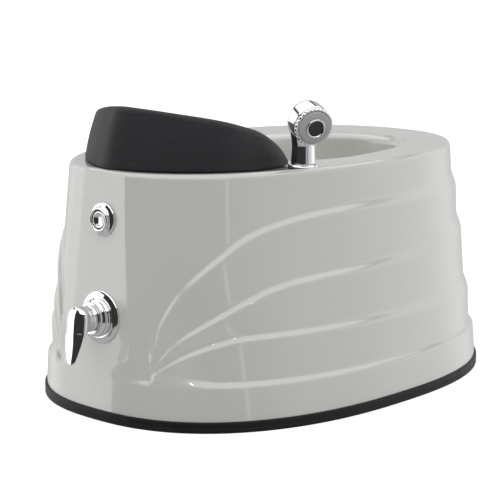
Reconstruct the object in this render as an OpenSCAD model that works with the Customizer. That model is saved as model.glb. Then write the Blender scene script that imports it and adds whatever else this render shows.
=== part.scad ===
// Foot spa basin: a moulded tub with a fanned skirt, a footrest pad over its nose,
// a mixer and an air button on the nose panel, a pull-out hand shower on the deck,
// and a small water-jet pump inside. Millimetres, +Z up.
// The origin is on the floor at the middle of the base. -Y is the nose, where the
// person giving the treatment sits, and +Y is the client's side.

/* [Tub] */
// Height of the deck's highest line above the floor
rim_z = 360; // [340:1:380]
// Half width of the tub at the floor
base_a = 280; // [265:1:295]
// Half length of the tub at the floor
base_b = 372; // [350:1:390]
// Half width of the tub at the rim
rim_a = 226; // [215:1:240]
// Half length of the tub at the rim
rim_b = 352; // [340:1:365]
// Thickness of the moulded walls
wall = 5; // [4:0.5:6]
// Radius of the rim's outer edge
rim_round = 8; // [6:1:12]
// Fall of the deck from the rim to the bowl
deck_fall = 7; // [3:1:9]

/* [Skirt ridges] */
// How far each ridge steps out
ridge_step = 7; // [3:0.5:9]
// Height of the ridge above the base band
band_z = 67; // [60:1:70]

/* [Bowl] */
// Half width of the bowl's mouth
bowl_a = 138; // [125:1:145]
// Half length of the bowl's mouth
bowl_b = 187; // [170:1:195]
// Distance from the origin to the middle of the bowl, towards the client
bowl_y = 98; // [90:1:102]
// Height of the bowl's floor
bowl_floor = 80; // [76:1:100]

/* [Footrest] */
// Height of the pad's crest above the floor
pad_top = 452; // [430:1:460]
// Thickness of the board under the pad
board_t = 5; // [4:1:8]

/* [Controls] */
// Height of the air button
button_z = 290; // [275:1:300]
// Height of the mixer
mixer_z = 149; // [145:1:165]
// Radius of the mixer's wall plate
plate_r = 38.5; // [36:0.5:42]

/* [Hand shower] */
// Where the shower stands on the deck, across and along
shower_x = 182; // [176:1:186]
shower_y = -124; // [-130:1:-118]
// Height at which the head's axis crosses the stem's axis
head_z = 431.7; // [425:0.1:440]
// Radius of the spray head
head_r = 29; // [26:0.5:31]
// Diameter of the hose
hose_d = 12; // [10:0.5:13]

/* [Plumbing] */
// Distance from the middle to each water inlet
inlet_x = 30; // [28:1:34]
// Outer radius of a G1/2 inlet thread
inlet_r = 10.5; // [10.4:0.1:10.6]
// Outer radius of the 40 mm drain tail
tail_r = 20; // [19:0.5:21]
// Height of the pump's shaft above the floor
pump_z = 125; // [120:1:135]
// Radius of the pump's pipes
pipe_r = 13; // [10:0.5:14]

/* [Hidden] */
$fn = 64;
gelcoat = [0.86, 0.86, 0.84];
black_rubber = [0.09, 0.09, 0.09];
vinyl = [0.16, 0.16, 0.17];
chrome = [0.80, 0.80, 0.82];
brass = [0.72, 0.60, 0.35];
steel = [0.60, 0.61, 0.63];
white_plastic = [0.90, 0.90, 0.89];
grey_plastic = [0.70, 0.70, 0.68];
plywood = [0.72, 0.58, 0.40];

// Plan outlines are rounded ovals: half width, half length, taper towards the nose,
// squareness, and the distance of the middle from the origin.
base_oval = [base_a, base_b, 0.054, 2.44, 0];
rim_oval = [rim_a, rim_b, 0.041, 2.22, 4];
bowl_oval = [bowl_a, bowl_b, -0.06, 2.5, bowl_y];
board_h = 12;              // thickness of the base board
trim_h = 16;               // height of the rubber trim
trim_out = 3;              // how far the trim stands out
shell_top = rim_z - rim_round - 2;
skin_in = 10;              // inset of the shell's inner face from the plain loft
around = 72;               // points round the tub
fan_s = 18;                // angle from the nose where the ridges fan out
panel_s = 10;              // angle from the nose of the panel's crease
// Heights of the three ridges, top one first, as [angle from the nose, height]
ridge_path = [
    [[18, 107], [20, 136], [24, 171], [28, 195], [34.5, 222], [40.5, 243], [48.5, 269],
        [58, 286], [70, 296], [180, 300]],
    [[18, 86], [20, 95], [24, 115], [28, 130], [34.5, 148], [40.5, 163], [48.5, 182],
        [57, 198], [64.5, 205], [85, 212], [100, 217], [115, 227], [180, 236]],
    [[18, 77.5], [20, 84.5], [24, 95], [28, 105], [34.5, 117], [40.5, 125], [48.5, 131],
        [70, 133], [180, 131]]];
ledge = 3.5;               // half height of the ledge at each ridge

function signed_pow(v, e) = sign(v) * pow(abs(v), e);
function blend(p, q, h) = p + (q - p) * h;
function clamp01(v) = max(0, min(1, v));
function inset_oval(p, d) = [p[0] - d, p[1] - d, p[2], p[3], p[4]];
// Point of an oval at the angle s from the nose, anticlockwise seen from above
function oval(p, s) =
    let (c = signed_pow(sin(s), 2 / p[3]), u = -signed_pow(cos(s), 2 / p[3]))
    [p[0] * c * (1 + p[2] * u), p[1] * u + p[4]];
function tub_oval(z) = blend(base_oval, rim_oval, z / rim_z);
// Unit vector pointing out of an oval at the angle s
function outward(p, s) =
    let (d = oval(p, s + 1) - oval(p, s - 1), l = norm(d)) [d[1] / l, -d[0] / l];
// Angle from the nose, from 0 to 180 on either side
function from_nose(s) = s <= 180 ? s : 360 - s;

// The nose panel is a flat strip that widens towards the floor
panel_top_w = 42;          // half width of the panel at the rim
panel_flare = 32;          // how much wider its half is at the floor
function panel_w(z) = panel_top_w + panel_flare * pow(1 - z / rim_z, 1.4);
function crease_s(z) =
    let (p = tub_oval(z)) asin(pow(panel_w(z) / (p[0] * (1 - p[2])), p[3] / 2));
function panel_y(z) = oval(tub_oval(z), crease_s(z))[1];
// Outline of the tub before the ridges: its nose is flat above the round base band
function flatness(z) = let (t = clamp01((z - 66) / 40)) t * t * (3 - 2 * t);
function plain(s, z) =
    let (n = from_nose(s), side = s <= 180 ? 1 : -1, q = oval(tub_oval(z), n),
        p = n >= fan_s ? q : blend(q, flat_nose(n, z), flatness(z)))
    [side * p[0], p[1]];
function flat_nose(n, z) =
    n <= panel_s ? [panel_w(z) * n / panel_s, panel_y(z)]
    : oval(tub_oval(z), blend(crease_s(z), fan_s, (n - panel_s) / (fan_s - panel_s)));
function ridge_fade(s) = clamp01((from_nose(s) - fan_s) / 4);
function band_fade(s) = clamp01((from_nose(s) - 6) / 14);
function ridge_z(i, s) = lookup(from_nose(s), ridge_path[i]);
function skin_point(s, z, out) =
    let (q = plain(s, z), n = outward(tub_oval(z), s)) [q[0] + n[0] * out, q[1] + n[1] * out, z];

// Closed skin through rings of points. A tube's last ring joins its first; otherwise
// each end is closed by a fan round its middle.
module rings(r, tube = false) {
    m = len(r);
    k = len(r[0]);
    last = tube ? m - 1 : m - 2;
    sides = [for (i = [0 : last]) for (j = [0 : k - 1])
        let (a = i * k + j, b = i * k + (j + 1) % k, c = ((i + 1) % m) * k + (j + 1) % k,
            d = ((i + 1) % m) * k + j) each [[a, b, c], [a, c, d]]];
    middles = tube ? [] : [middle(r[0]), middle(r[m - 1])];
    caps = tube ? [] : [for (j = [0 : k - 1])
        each [[m * k, (j + 1) % k, j], [m * k + 1, (m - 1) * k + j, (m - 1) * k + (j + 1) % k]]];
    polyhedron(concat([for (q = r) each q], middles), concat(sides, caps), convexity = 10);
}
function sum(v, i = 0) = i < len(v) ? v[i] + sum(v, i + 1) : [0, 0, 0];
function middle(r) = sum(r) / len(r);
function steps(n) = [for (i = [0 : n - 1]) i * 360 / n];

// Skirt --------------------------------------------------------------------------

// The skirt's outer face at one angle, from the top down: [height, step outwards]
function skirt_profile(s) =
    let (f = ridge_fade(s) * ridge_step / 2, r = [for (i = [0 : 2]) ridge_z(i, s)],
        b = band_fade(s) * ridge_step / 2)
    [[shell_top, 0],
        [blend(shell_top, r[0], 0.5), -f * 0.45],
        [r[0] + ledge, -f], [r[0] - ledge, f],
        [r[1] + ledge, -f], [r[1] - ledge, f],
        [r[2] + ledge, -f], [r[2] - ledge, f],
        [band_z + 4, blend(-b, -f, 0.5)], [band_z - 3, b * 0.5],
        [40, b * 0.25], [board_h, 0]];
module outer_shell() {
    profile = [for (s = steps(around)) skirt_profile(s)];
    outside = [for (i = [0 : len(profile[0]) - 1])
        [for (j = [0 : around - 1])
            skin_point(j * 360 / around, profile[j][i][0], profile[j][i][1])]];
    inside = [for (q = [[board_h, 34], [board_h + wall, 34], [board_h + wall, skin_in],
            [180, skin_in], [shell_top, skin_in]])
        [for (s = steps(around)) let (p = oval(inset_oval(tub_oval(q[0]), q[1]), s))
            [p[0], p[1], q[0]]]];
    color(gelcoat) difference() {
        rings(concat(outside, inside), tube = true);
        on_panel(button_z) cylinder(r = 17, h = 60, center = true);
        on_panel(mixer_z) cylinder(r = 21, h = 60, center = true);
        gland_place() cylinder(r = 8.2, h = 60, center = true);
    }
}
// Places a fitting on the nose panel: its own +Z points straight out of the panel
panel_lean = atan((panel_y(button_z) - panel_y(mixer_z)) / (button_z - mixer_z));
module on_panel(z) translate([0, panel_y(z), z]) rotate([90 - panel_lean, 0, 0]) children();
module gland_place() translate([90, base_b - 20, 42]) rotate([-90, 0, 0]) children();

// Deck and bowl --------------------------------------------------------------------

// How far a point lies towards the rim: 0 in the middle, 1 on the rim
function rim_share(x, y) =
    let (u = (y - rim_oval[4]) / rim_b, w = rim_a * (1 + rim_oval[2] * u))
    pow(pow(abs(x) / w, rim_oval[3]) + pow(abs(u), rim_oval[3]), 1 / rim_oval[3]);
function deck_z(x, y) = rim_z - deck_fall * clamp01((1 - rim_share(x, y)) / 0.39);
function ring_at(p, z) = [for (s = steps(around)) let (q = oval(p, s)) [q[0], q[1], z]];
// The rim follows the skirt's outline, nose panel and all
function rim_ring(d, z) = [for (s = steps(around)) skin_point(s, min(z, rim_z), -d)];
function deck_ring(g, down) = [for (s = steps(around))
    let (q = blend(skin_point(s, rim_z, -rim_round), concat(oval(bowl_oval, s), [0]), g))
    [q[0], q[1], deck_z(q[0], q[1]) - down]];
lip_round = 12;
floor_round = 40;
drain_y = 90;
drain_hole = 26;
wall_in = 26;              // how far the bowl narrows from its lip to its floor fillet
lip_z = rim_z - deck_fall;
function bowl_ring(d, z) = ring_at(inset_oval(bowl_oval, d), z);
function drain_ring(z) = [for (s = steps(around))
    [drain_hole * sin(s), drain_y - drain_hole * cos(s), z]];
module bowl_deck() {
    over_rim = [for (a = [0 : 22.5 : 90])
        rim_ring(rim_round * (1 - cos(a)), rim_z - rim_round * (1 - sin(a)))];
    into_bowl = [for (a = [22.5 : 22.5 : 90])
        bowl_ring(lip_round * sin(a), lip_z - lip_round * (1 - cos(a)))];
    to_floor = [for (a = [0 : 22.5 : 90])
        bowl_ring(lip_round + wall_in + floor_round * (1 - cos(a)),
            bowl_floor + floor_round * (1 - sin(a)))];
    under_floor = [for (a = [90 : -30 : 0])
        bowl_ring(lip_round + wall_in + floor_round - (floor_round + wall) * cos(a),
            bowl_floor + floor_round - (floor_round + wall) * sin(a))];
    color(gelcoat) difference() {
        rings(concat([rim_ring(0, shell_top)], over_rim,
            [for (g = [0.3, 0.65, 1]) deck_ring(g, 0)], into_bowl, to_floor,
            [drain_ring(bowl_floor - 2), drain_ring(bowl_floor - 2 - wall)], under_floor,
            [bowl_ring(lip_round - wall, lip_z - lip_round),
                bowl_ring(-3, lip_z - wall)],
            [for (g = [0.65, 0.3]) deck_ring(g, wall)],
            [rim_ring(wall + 3, rim_z - wall - 3), rim_ring(wall + 1, shell_top)]),
            tube = true);
        shower_place() translate([0, 0, -20]) cylinder(r = 18, h = 40);
        shower_place() translate([0, 0, -spot_down]) cylinder(r = 22.8, h = 20);
        for (x = pin_places) translate([x, pin_y, rim_z - 25]) cylinder(r = 8, h = 40);
        suction_place() cylinder(r = 24.5, h = 60, center = true);
        for (side = [-1, 1]) jet_place(side) cylinder(r = 19.5, h = 50, center = true);
    }
}
spot_down = 1.8;           // depth of the flat spot under the shower's gasket
module shower_place() translate([shower_x, shower_y, deck_z(shower_x, shower_y)]) children();

// Base -------------------------------------------------------------------------------

module base_trim() {
    color(black_rubber) rings([ring_out(trim_out, 0), ring_out(trim_out, trim_h - 2),
        ring_out(trim_out - 1.5, trim_h), ring_out(0, trim_h), ring_out(0, board_h),
        ring_out(0, 0)], tube = true);
}
function ring_out(d, z) = [for (s = steps(around))
    let (q = skin_point(s, board_h, d)) [q[0], q[1], z]];
hatch = [130, 76];         // opening in the base board below the water inlets
hatch_y = -302;
screw_share = [15, 60, 115, 160, 200, 245, 300, 345];
module base_board() {
    color(plywood) difference() {
        linear_extrude(board_h) polygon([for (q = ring_out(-0.3, 0)) [q[0], q[1]]]);
        translate([-hatch[0] / 2, hatch_y - hatch[1] / 2, -1]) cube([hatch[0], hatch[1], 20]);
        translate([0, drain_y, -1]) cylinder(r = 40, h = 20);
        for (s = screw_share) screw_spot(s) {
            cylinder(r = 2.1, h = 30);
            translate([0, 0, -1]) cylinder(r = 4.6, h = 5);
        }
    }
}
module screw_spot(s) {
    q = oval(inset_oval(base_oval, 24), s);
    translate([q[0], q[1], 0]) children();
}
module base_screws() {
    color(steel) for (s = screw_share) screw_spot(s) {
        translate([0, 0, 1]) cylinder(r = 4.3, h = 3);
        translate([0, 0, 3.5]) cylinder(r = 2, h = 13.5);
    }
}

// Footrest ---------------------------------------------------------------------------

// Half of the pad's plan, from its nose to its back edge
pad_half = [[0, -339], [55, -312], [105, -281], [146, -250], [159, -215], [158, -160],
    [140, -108], [110, -95], [0, -92]];
pad_heart = [0, -205];     // point that the pad's outlines shrink towards
pad_lean = 16;             // inward lean of the pad's walls, in degrees
pad_gap = 1.2;             // gap between the pad and the deck
pad_loop = concat(pad_half, [for (i = [len(pad_half) - 2 : -1 : 1])
    [-pad_half[i][0], pad_half[i][1]]]);
pad_corners = len(pad_loop);
pad_between = 4;           // steps between two points of the plan
function looped(i) = pad_loop[(i + pad_corners) % pad_corners];
// Point k of the pad's plan, drawn in by d
function pad_plan(k, d) =
    let (i = floor(k / pad_between), t = (k % pad_between) / pad_between,
        a = looped(i - 1), b = looped(i), c = looped(i + 1), e = looped(i + 2),
        q = 0.5 * (2 * b + (c - a) * t + (2 * a - 5 * b + 4 * c - e) * t * t
            + (3 * b - a - 3 * c + e) * t * t * t),
        v = q - pad_heart) q - v / norm(v) * d;
pad_steps = [for (k = [0 : pad_corners * pad_between - 1]) k];
// Height of the pad's crown along its length
function pad_crest(y) = lookup(y, [[-350, pad_top - 1], [-322, pad_top], [-240, pad_top - 20],
    [-165, pad_top - 42], [-104, pad_top - 74], [-90, pad_top - 80]]);
function pad_ring(down, extra) = [for (k = pad_steps)
    let (q = pad_plan(k, 0), h = pad_crest(q[1]) - deck_z(q[0], q[1]) - pad_gap,
        d = (h - down) * tan(pad_lean) + extra, p = pad_plan(k, d))
    [p[0], p[1], pad_crest(p[1]) - down]];
function pad_foot(d, lift) = [for (k = pad_steps) let (p = pad_plan(k, d))
    [p[0], p[1], deck_z(p[0], p[1]) + pad_gap + lift]];
recess_in = 22;
recess_z = rim_z + 1 + board_t;
module footrest_pad() {
    recess = [for (k = pad_steps) let (p = pad_plan(k, recess_in)) [p[0], p[1], recess_z]];
    color(vinyl) rings([recess, pad_foot(recess_in, 0), pad_foot(0, 0), pad_foot(0, 4),
        pad_ring(12, 0), pad_ring(4, 3), pad_ring(0.5, 11),
        pad_ring(-2, 40), pad_ring(-3, 62)]);
}
module footrest_board() {
    color(black_rubber) translate([0, 0, rim_z + 1]) linear_extrude(board_t)
        polygon([for (k = pad_steps) pad_plan(k, recess_in + 0.5)]);
}
pin_places = [-60, 60];
pin_y = -250;
pin_r = 5;
module footrest_pins() {
    color(steel) for (x = pin_places) translate([x, pin_y, rim_z - 22])
        cylinder(r = pin_r, h = 23);
}
module pin_grommets() {
    color(black_rubber) for (x = pin_places) translate([x, pin_y, deck_z(x, pin_y)])
        rotate_extrude() polygon([[pin_r + 0.08, -9], [9.5, -9], [9.5, -6.5], [7.9, -6],
            [7.9, 0.2], [pin_r + 0.08, 0.2]]);
}

// Mixer ------------------------------------------------------------------------------

cartridge_r = 17.5;
barrel_r = 20;
ball_r = 17;               // round bar of the hub that the lever tilts on
ball_l = 29;               // length of that bar
ball_z = 26;               // distance of the tilt axis from the panel
module mixer_plate() {
    color(chrome) on_panel(mixer_z) rotate_extrude()
        polygon([[barrel_r + 0.5, 0], [plate_r, 0], [plate_r, 1.5], [plate_r - 1, 3],
            [plate_r - 5, 5], [plate_r - 10, 6.2], [barrel_r + 0.5, 6.5]]);
}
module mixer_body() {
    color(brass) difference() {
        union() {
            on_panel(mixer_z) translate([0, 0, -52]) cylinder(r = barrel_r, h = 58);
            on_panel(mixer_z) translate([0, 0, -40]) rotate([0, 90, 0])
                cylinder(r = 15, h = 92, center = true);
            for (x = [-inlet_x, inlet_x]) inlet_place(x) cylinder(r = 13, h = 28);
        }
        on_panel(mixer_z) translate([0, 0, -30]) cylinder(r = cartridge_r + 0.1, h = 60);
    }
}
inlet_y = panel_y(mixer_z) + 40;
module inlet_place(x) translate([x, inlet_y, mixer_z - 32]) children();
module inlet(x) {
    color(brass) inlet_place(x) difference() {
        union() {
            translate([0, 0, -70]) cylinder(r = inlet_r, h = 70);
            translate([0, 0, -12]) cylinder(r = 13, h = 6, $fn = 6);
        }
        translate([0, 0, -71]) cylinder(r = 7, h = 60);
    }
}
module hot_inlet() inlet(-inlet_x);
module cold_inlet() inlet(inlet_x);
module hose_outlet() {
    color(brass) translate([46, inlet_y, mixer_z - 2.3]) rotate([0, 90, 0]) {
        cylinder(r = 9, h = 10);
        translate([0, 0, 3]) cylinder(r = 11, h = 5, $fn = 6);
    }
}
module mixer_locknut() {
    color(brass) on_panel(mixer_z) translate([0, 0, -18]) difference() {
        cylinder(r = 30, h = 8, $fn = 6);
        translate([0, 0, -1]) cylinder(r = barrel_r + 0.02, h = 10);
    }
}
module mixer_cartridge() {
    color(white_plastic) on_panel(mixer_z) {
        translate([0, 0, -30]) cylinder(r = cartridge_r, h = 43);
        translate([0, 0, 12]) cylinder(r = 5, h = 7);
    }
}
module bonnet_nut() {
    color(chrome) on_panel(mixer_z) rotate_extrude() polygon([[barrel_r + 0.02, 6.6],
        [28, 6.6], [28, 10.5], [26.5, 12], [26.5, 16], [24.5, 17.5], [23, 19], [23, 21.5],
        [9, 21.5], [9, 19.5], [cartridge_r + 0.1, 19.5], [cartridge_r + 0.1, 13.5],
        [barrel_r + 0.02, 13.5]]);
}
module lever_hub() {
    color(chrome) on_panel(mixer_z) {
        translate([0, 0, 22]) cylinder(r = 19, h = 3);
        difference() {
            translate([0, 0, ball_z]) rotate([0, 90, 0])
                cylinder(r = ball_r, h = ball_l, center = true);
            translate([0, 0, -3]) cylinder(r = 40, h = 25);
        }
    }
}
module mixer_lever() {
    color(chrome) on_panel(mixer_z) {
        difference() {
            union() {
                translate([0, 0, 33.5]) cylinder(r = 19.5, h = 12.5);
                hull() {
                    translate([0, 0, 46]) cylinder(r = 19.5, h = 1, $fn = 32);
                    translate([0, -4, 51]) scale([1, 1, 0.3]) sphere(r = 16, $fn = 32);
                    translate([0, -14, 51]) cylinder(r = 14, h = 3, $fn = 32);
                }
            }
            translate([0, 0, ball_z]) rotate([0, 90, 0])
                cylinder(r = ball_r + 0.3, h = ball_l + 0.6, center = true);
            translate([0, -19.55, 40]) rotate([90, 0, 0]) translate([0, 0, -1])
                cylinder(r = 2.6, h = 4);
        }
        hull() {
            translate([0, -12, 50]) cylinder(r = 15, h = 3.6, $fn = 32);
            translate([0, -34, 53]) cylinder(r = 10, h = 3.4, $fn = 32);
        }
        hull() {
            translate([0, -34, 53]) cylinder(r = 10, h = 3.4, $fn = 32);
            translate([0, -60, 55]) cylinder(r = 5.5, h = 3, $fn = 32);
        }
    }
}
module lever_screw() {
    color(steel) on_panel(mixer_z) translate([0, -18.6, 40]) rotate([90, 0, 0])
        difference() {
            cylinder(r = 2.5, h = 1.4);
            translate([0, 0, 0.6]) cylinder(r = 1.2, h = 2, $fn = 6);
        }
}

// Air button -------------------------------------------------------------------------

cap_r = 13.2;
module button_housing() {
    color(chrome) on_panel(button_z) rotate_extrude() polygon([[cap_r + 0.3, -34],
        [16, -34], [16, 0.3], [24.5, 0.3], [24.5, 2], [23.5, 3.6], [19, 4.4], [18, 5], [18, 9],
        [17, 11], [15.5, 11.6], [cap_r + 0.6, 10.6], [cap_r + 0.3, 9.6]]);
}
module button_locknut() {
    color(grey_plastic) on_panel(button_z) translate([0, 0, -18]) difference() {
        cylinder(r = 24, h = 7, $fn = 6);
        translate([0, 0, -1]) cylinder(r = 16.02, h = 9);
    }
}
module button_cap() {
    color(chrome) on_panel(button_z) rotate_extrude() polygon([[0, 2], [0, 6.5], [4, 6.8],
        [8, 7.8], [11.4, 9.6], [12.6, 9.8], [cap_r, 9], [cap_r, 0], [11, 0], [11, 2]]);
}
module button_bellows() {
    color(black_rubber) on_panel(button_z) rotate_extrude() polygon([[0, -33], [12, -33],
        [9, -29], [12, -25], [9, -21], [12, -17], [9, -13], [12, -9], [9, -5],
        [9, 1.8], [0, 1.8]]);
}
switch_at = [-62, -262, 236];
module air_switch() {
    color(grey_plastic) translate(switch_at) difference() {
        cube([44, 70, 52], center = true);
        translate([0, 0, 21]) cube([36, 62, 4], center = true);
    }
}
module air_tube() color(grey_plastic) tube(air_route, 5, 2, 8);
button_back = [0, panel_y(button_z) + 34.4, button_z - 2];
air_route = [button_back, [0, -304, 287.4], [-5, -288, 285], [-20, -272, 280],
    [-40, -263, 277], [-52, -262, 273], [-58, -262, 267.5], [-58, -262, 262.1]];

// Tubes that follow a route ----------------------------------------------------------

function spline(p, i, t) =
    let (a = p[max(0, i - 1)], b = p[i], c = p[i + 1], d = p[min(len(p) - 1, i + 2)])
    0.5 * (2 * b + (c - a) * t + (2 * a - 5 * b + 4 * c - d) * t * t
        + (3 * b - a - 3 * c + d) * t * t * t);
function smooth(p, n) = concat([for (i = [0 : len(p) - 2]) for (k = [0 : n - 1])
    spline(p, i, k / n)], [p[len(p) - 1]]);
function unit(v) = v / norm(v);
function heading(p, i) = unit(p[min(len(p) - 1, i + 1)] - p[max(0, i - 1)]);
// Side vectors carried along the route, so that the rings don't twist
function carry(p, u, i) = i >= len(p) ? [] :
    let (h = heading(p, i), v = unit(u - h * (h * u))) concat([v], carry(p, v, i + 1));
module tube(route, d, n, sides) {
    p = smooth(route, n);
    u = carry(p, abs(heading(p, 0)[0]) > 0.8 ? [0, 0, 1] : [1, 0, 0], 0);
    rings([for (i = [0 : len(p) - 1]) let (v = cross(heading(p, i), u[i]))
        [for (j = [0 : sides - 1]) let (a = -j * 360 / sides)
            p[i] + (u[i] * cos(a) + v * sin(a)) * d / 2]]);
}

// Hand shower ------------------------------------------------------------------------

head_aim = [0.853, -0.4405, -0.279];
head_turn = atan2(head_aim[1], head_aim[0]);
head_tip = acos(head_aim[2] / norm(head_aim));
barrel_in = 13.2;
deck_at = deck_z(shower_x, shower_y);
module at_shower(z) translate([shower_x, shower_y, z]) children();
module at_head() translate([shower_x, shower_y, head_z]) rotate([0, head_tip, head_turn])
    children();
module shower_holder() {
    color(chrome) at_shower(deck_at) rotate_extrude() polygon([[barrel_in, -42], [17.5, -42],
        [17.5, 1.6], [22.5, 1.6], [22.5, 3], [21, 5], [19, 5.6], [barrel_in, 5.6]]);
}
module shower_gasket() {
    color(black_rubber) at_shower(deck_at) difference() {
        translate([0, 0, 0.05 - spot_down]) cylinder(r = 22, h = 1.6 + spot_down - 0.05);
        translate([0, 0, -3]) cylinder(r = 17.52, h = 6);
    }
}
module shower_locknut() {
    color(grey_plastic) at_shower(deck_at - 22) rotate([0, 0, 30]) difference() {
        cylinder(r = 21.5, h = 9, $fn = 6);
        translate([0, 0, -1]) cylinder(r = 17.52, h = 11);
    }
}
stem_z = deck_at + 5.9;
module shower_stem() {
    color(chrome) {
        at_shower(stem_z) cylinder(r1 = 17.8, r2 = 16.2, h = 52);
        at_shower(stem_z + 52) cylinder(r1 = 16.2, r2 = 17, h = head_z - stem_z - 66);
        at_shower(stem_z - 32) cylinder(r = barrel_in - 0.3, h = 33);
    }
}
module hose_nut() {
    color(chrome) at_shower(stem_z - 46) rotate_extrude() polygon([[0, 0], [8.5, 0], [11, 9],
        [11, 13.8], [0, 13.8]]);
}
module shower_head() {
    color(chrome) difference() {
        union() {
            at_head() translate([0, 0, 8]) cylinder(r = head_r, h = 27.5);
            at_head() translate([0, 0, 8]) rotate_extrude() polygon([[0, -10],
                [13, -9], [22, -6], [27, -2], [head_r, 1], [head_r, 3], [0, 3]]);
            at_shower(head_z - 14) cylinder(r1 = 17, r2 = 19, h = 16);
        }
        at_head() translate([0, 0, 30]) cylinder(r = 24.4, h = 20);
        at_shower(head_z - 60) cylinder(r = 17.3, h = 46.1);
    }
}
ring_from = 35.9;
module spray_ring() {
    color(chrome) at_head() difference() {
        translate([0, 0, ring_from]) cylinder(r = head_r - 0.5, h = 6);
        translate([0, 0, ring_from - 1]) cylinder(r = 24.4, h = 9);
        for (a = steps(24)) rotate([0, 0, a]) translate([head_r + 0.6, 0, ring_from + 1.5])
            cylinder(r = 2, h = 8);
    }
}
module nozzle_plate() {
    color(grey_plastic) at_head() rotate_extrude() polygon([[14.6, 30.2], [24, 30.2],
        [24, 42.5], [23, 44.2], [19, 46], [14.6, 47]]);
}
module outlet_ring() {
    color(chrome) at_head() rotate_extrude() polygon([[11.2, 31], [14.5, 31], [14.5, 47.6],
        [13.5, 48.6], [12.2, 48.4], [11.2, 47.4]]);
}
module centre_outlet() {
    color(black_rubber) at_head() rotate_extrude() polygon([[0, 31], [11.1, 31], [11.1, 46.6],
        [10, 47.4], [0, 47.8]]);
}
module shower_hose() color(steel) tube(hose_route, hose_d, 2, 10);
// The hose hangs in a loop inside the tub, so that the shower can be pulled out
hose_start = stem_z - 46;
outlet_z = mixer_z - 2.3;
hose_route = [[shower_x, shower_y, hose_start], [shower_x, shower_y, 295],
    [shower_x, shower_y, 250], [shower_x, shower_y, 200], [shower_x, shower_y, 150],
    [shower_x, shower_y, 105], [182, -126, 76], [182, -138, 50], [182, -158, 34],
    [182, -182, 32], [182, -204, 46], [182, -217, 70], [178, -224, 98], [168, -236, 124],
    [148, -256, 142], [122, -284, 147], [100, -305, 147], [78, inlet_y + 0.4, 147],
    [56.3, inlet_y, outlet_z]];

// Drain ------------------------------------------------------------------------------

drain_z = bowl_floor - 2;
module at_drain(z) translate([0, drain_y, z]) children();
module drain_flange() {
    color(chrome) at_drain(drain_z) difference() {
        union() {
            translate([0, 0, 0.9]) cylinder(r1 = 33, r2 = 31, h = 2.2);
            translate([0, 0, -26]) cylinder(r = 25.5, h = 28);
        }
        translate([0, 0, -30]) cylinder(r = 21.5, h = 40);
    }
}
module drain_gasket() {
    color(black_rubber) at_drain(drain_z - wall - 3) difference() {
        cylinder(r = 34, h = 2.8);
        translate([0, 0, -1]) cylinder(r = 25.52, h = 6);
    }
}
module drain_locknut() {
    color(grey_plastic) at_drain(drain_z - wall - 10) difference() {
        cylinder(r = 36, h = 6.8, $fn = 8);
        translate([0, 0, -1]) cylinder(r = 25.52, h = 10);
    }
}
module drain_body() {
    color(white_plastic) at_drain(drain_z - 40) difference() {
        cylinder(r1 = 23, r2 = 28, h = 13.8);
        translate([0, 0, 4]) cylinder(r = 21.5, h = 30);
        translate([0, 0, -1]) cylinder(r = 17, h = 30);
    }
}
module drain_tail() {
    color(white_plastic) at_drain(4) difference() {
        cylinder(r = tail_r, h = drain_z - 44);
        translate([0, 0, -1]) cylinder(r = tail_r - 3, h = 80);
    }
}
module drain_stopper() {
    color(chrome) at_drain(drain_z) {
        translate([0, 0, 3.4]) cylinder(r1 = 27, r2 = 24, h = 3.4);
        translate([0, 0, -20]) cylinder(r = 4, h = 24);
        translate([0, 0, -20]) cylinder(r = 12, h = 2);
    }
}

// Water-jet pump ----------------------------------------------------------------------

pump_x = -95;
volute_y = [-176, -140];
suction_z = 162;
elbow_bead = 1.5;          // how far an elbow's moulding stands out past its pipes
wall_lean = atan(wall_in / (lip_z - lip_round - bowl_floor - floor_round));
function wall_inset(z) = lip_round + (lip_z - lip_round - z) * tan(wall_lean);
// Stands a fitting on the bowl's wall: its own +Z points out of the wall, into the bowl
module on_wall(s, z) {
    p = inset_oval(bowl_oval, wall_inset(z));
    q = oval(p, s);
    n = outward(p, s);
    translate([q[0], q[1], z]) rotate([0, 90 - wall_lean, atan2(-n[1], -n[0])]) children();
}
module suction_place() on_wall(0, suction_z) children();
module suction_fitting() {
    color(white_plastic) suction_place() difference() {
        translate([0, 0, -36]) cylinder(r = 24, h = 40);
        translate([0, 0, -30]) cylinder(r = 20, h = 60);
        translate([0, 0, -50]) cylinder(r = pipe_r - 2, h = 60);
    }
}
module suction_cover() {
    color(white_plastic) suction_place() translate([0, 0, 4.2]) difference() {
        cylinder(r1 = 33, r2 = 30, h = 5);
        for (ring = [8, 15, 22]) for (a = steps(ring)) rotate([0, 0, a])
            translate([ring + 1, 0, -1]) cylinder(r = 1.5, h = 9, $fn = 16);
    }
}
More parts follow.
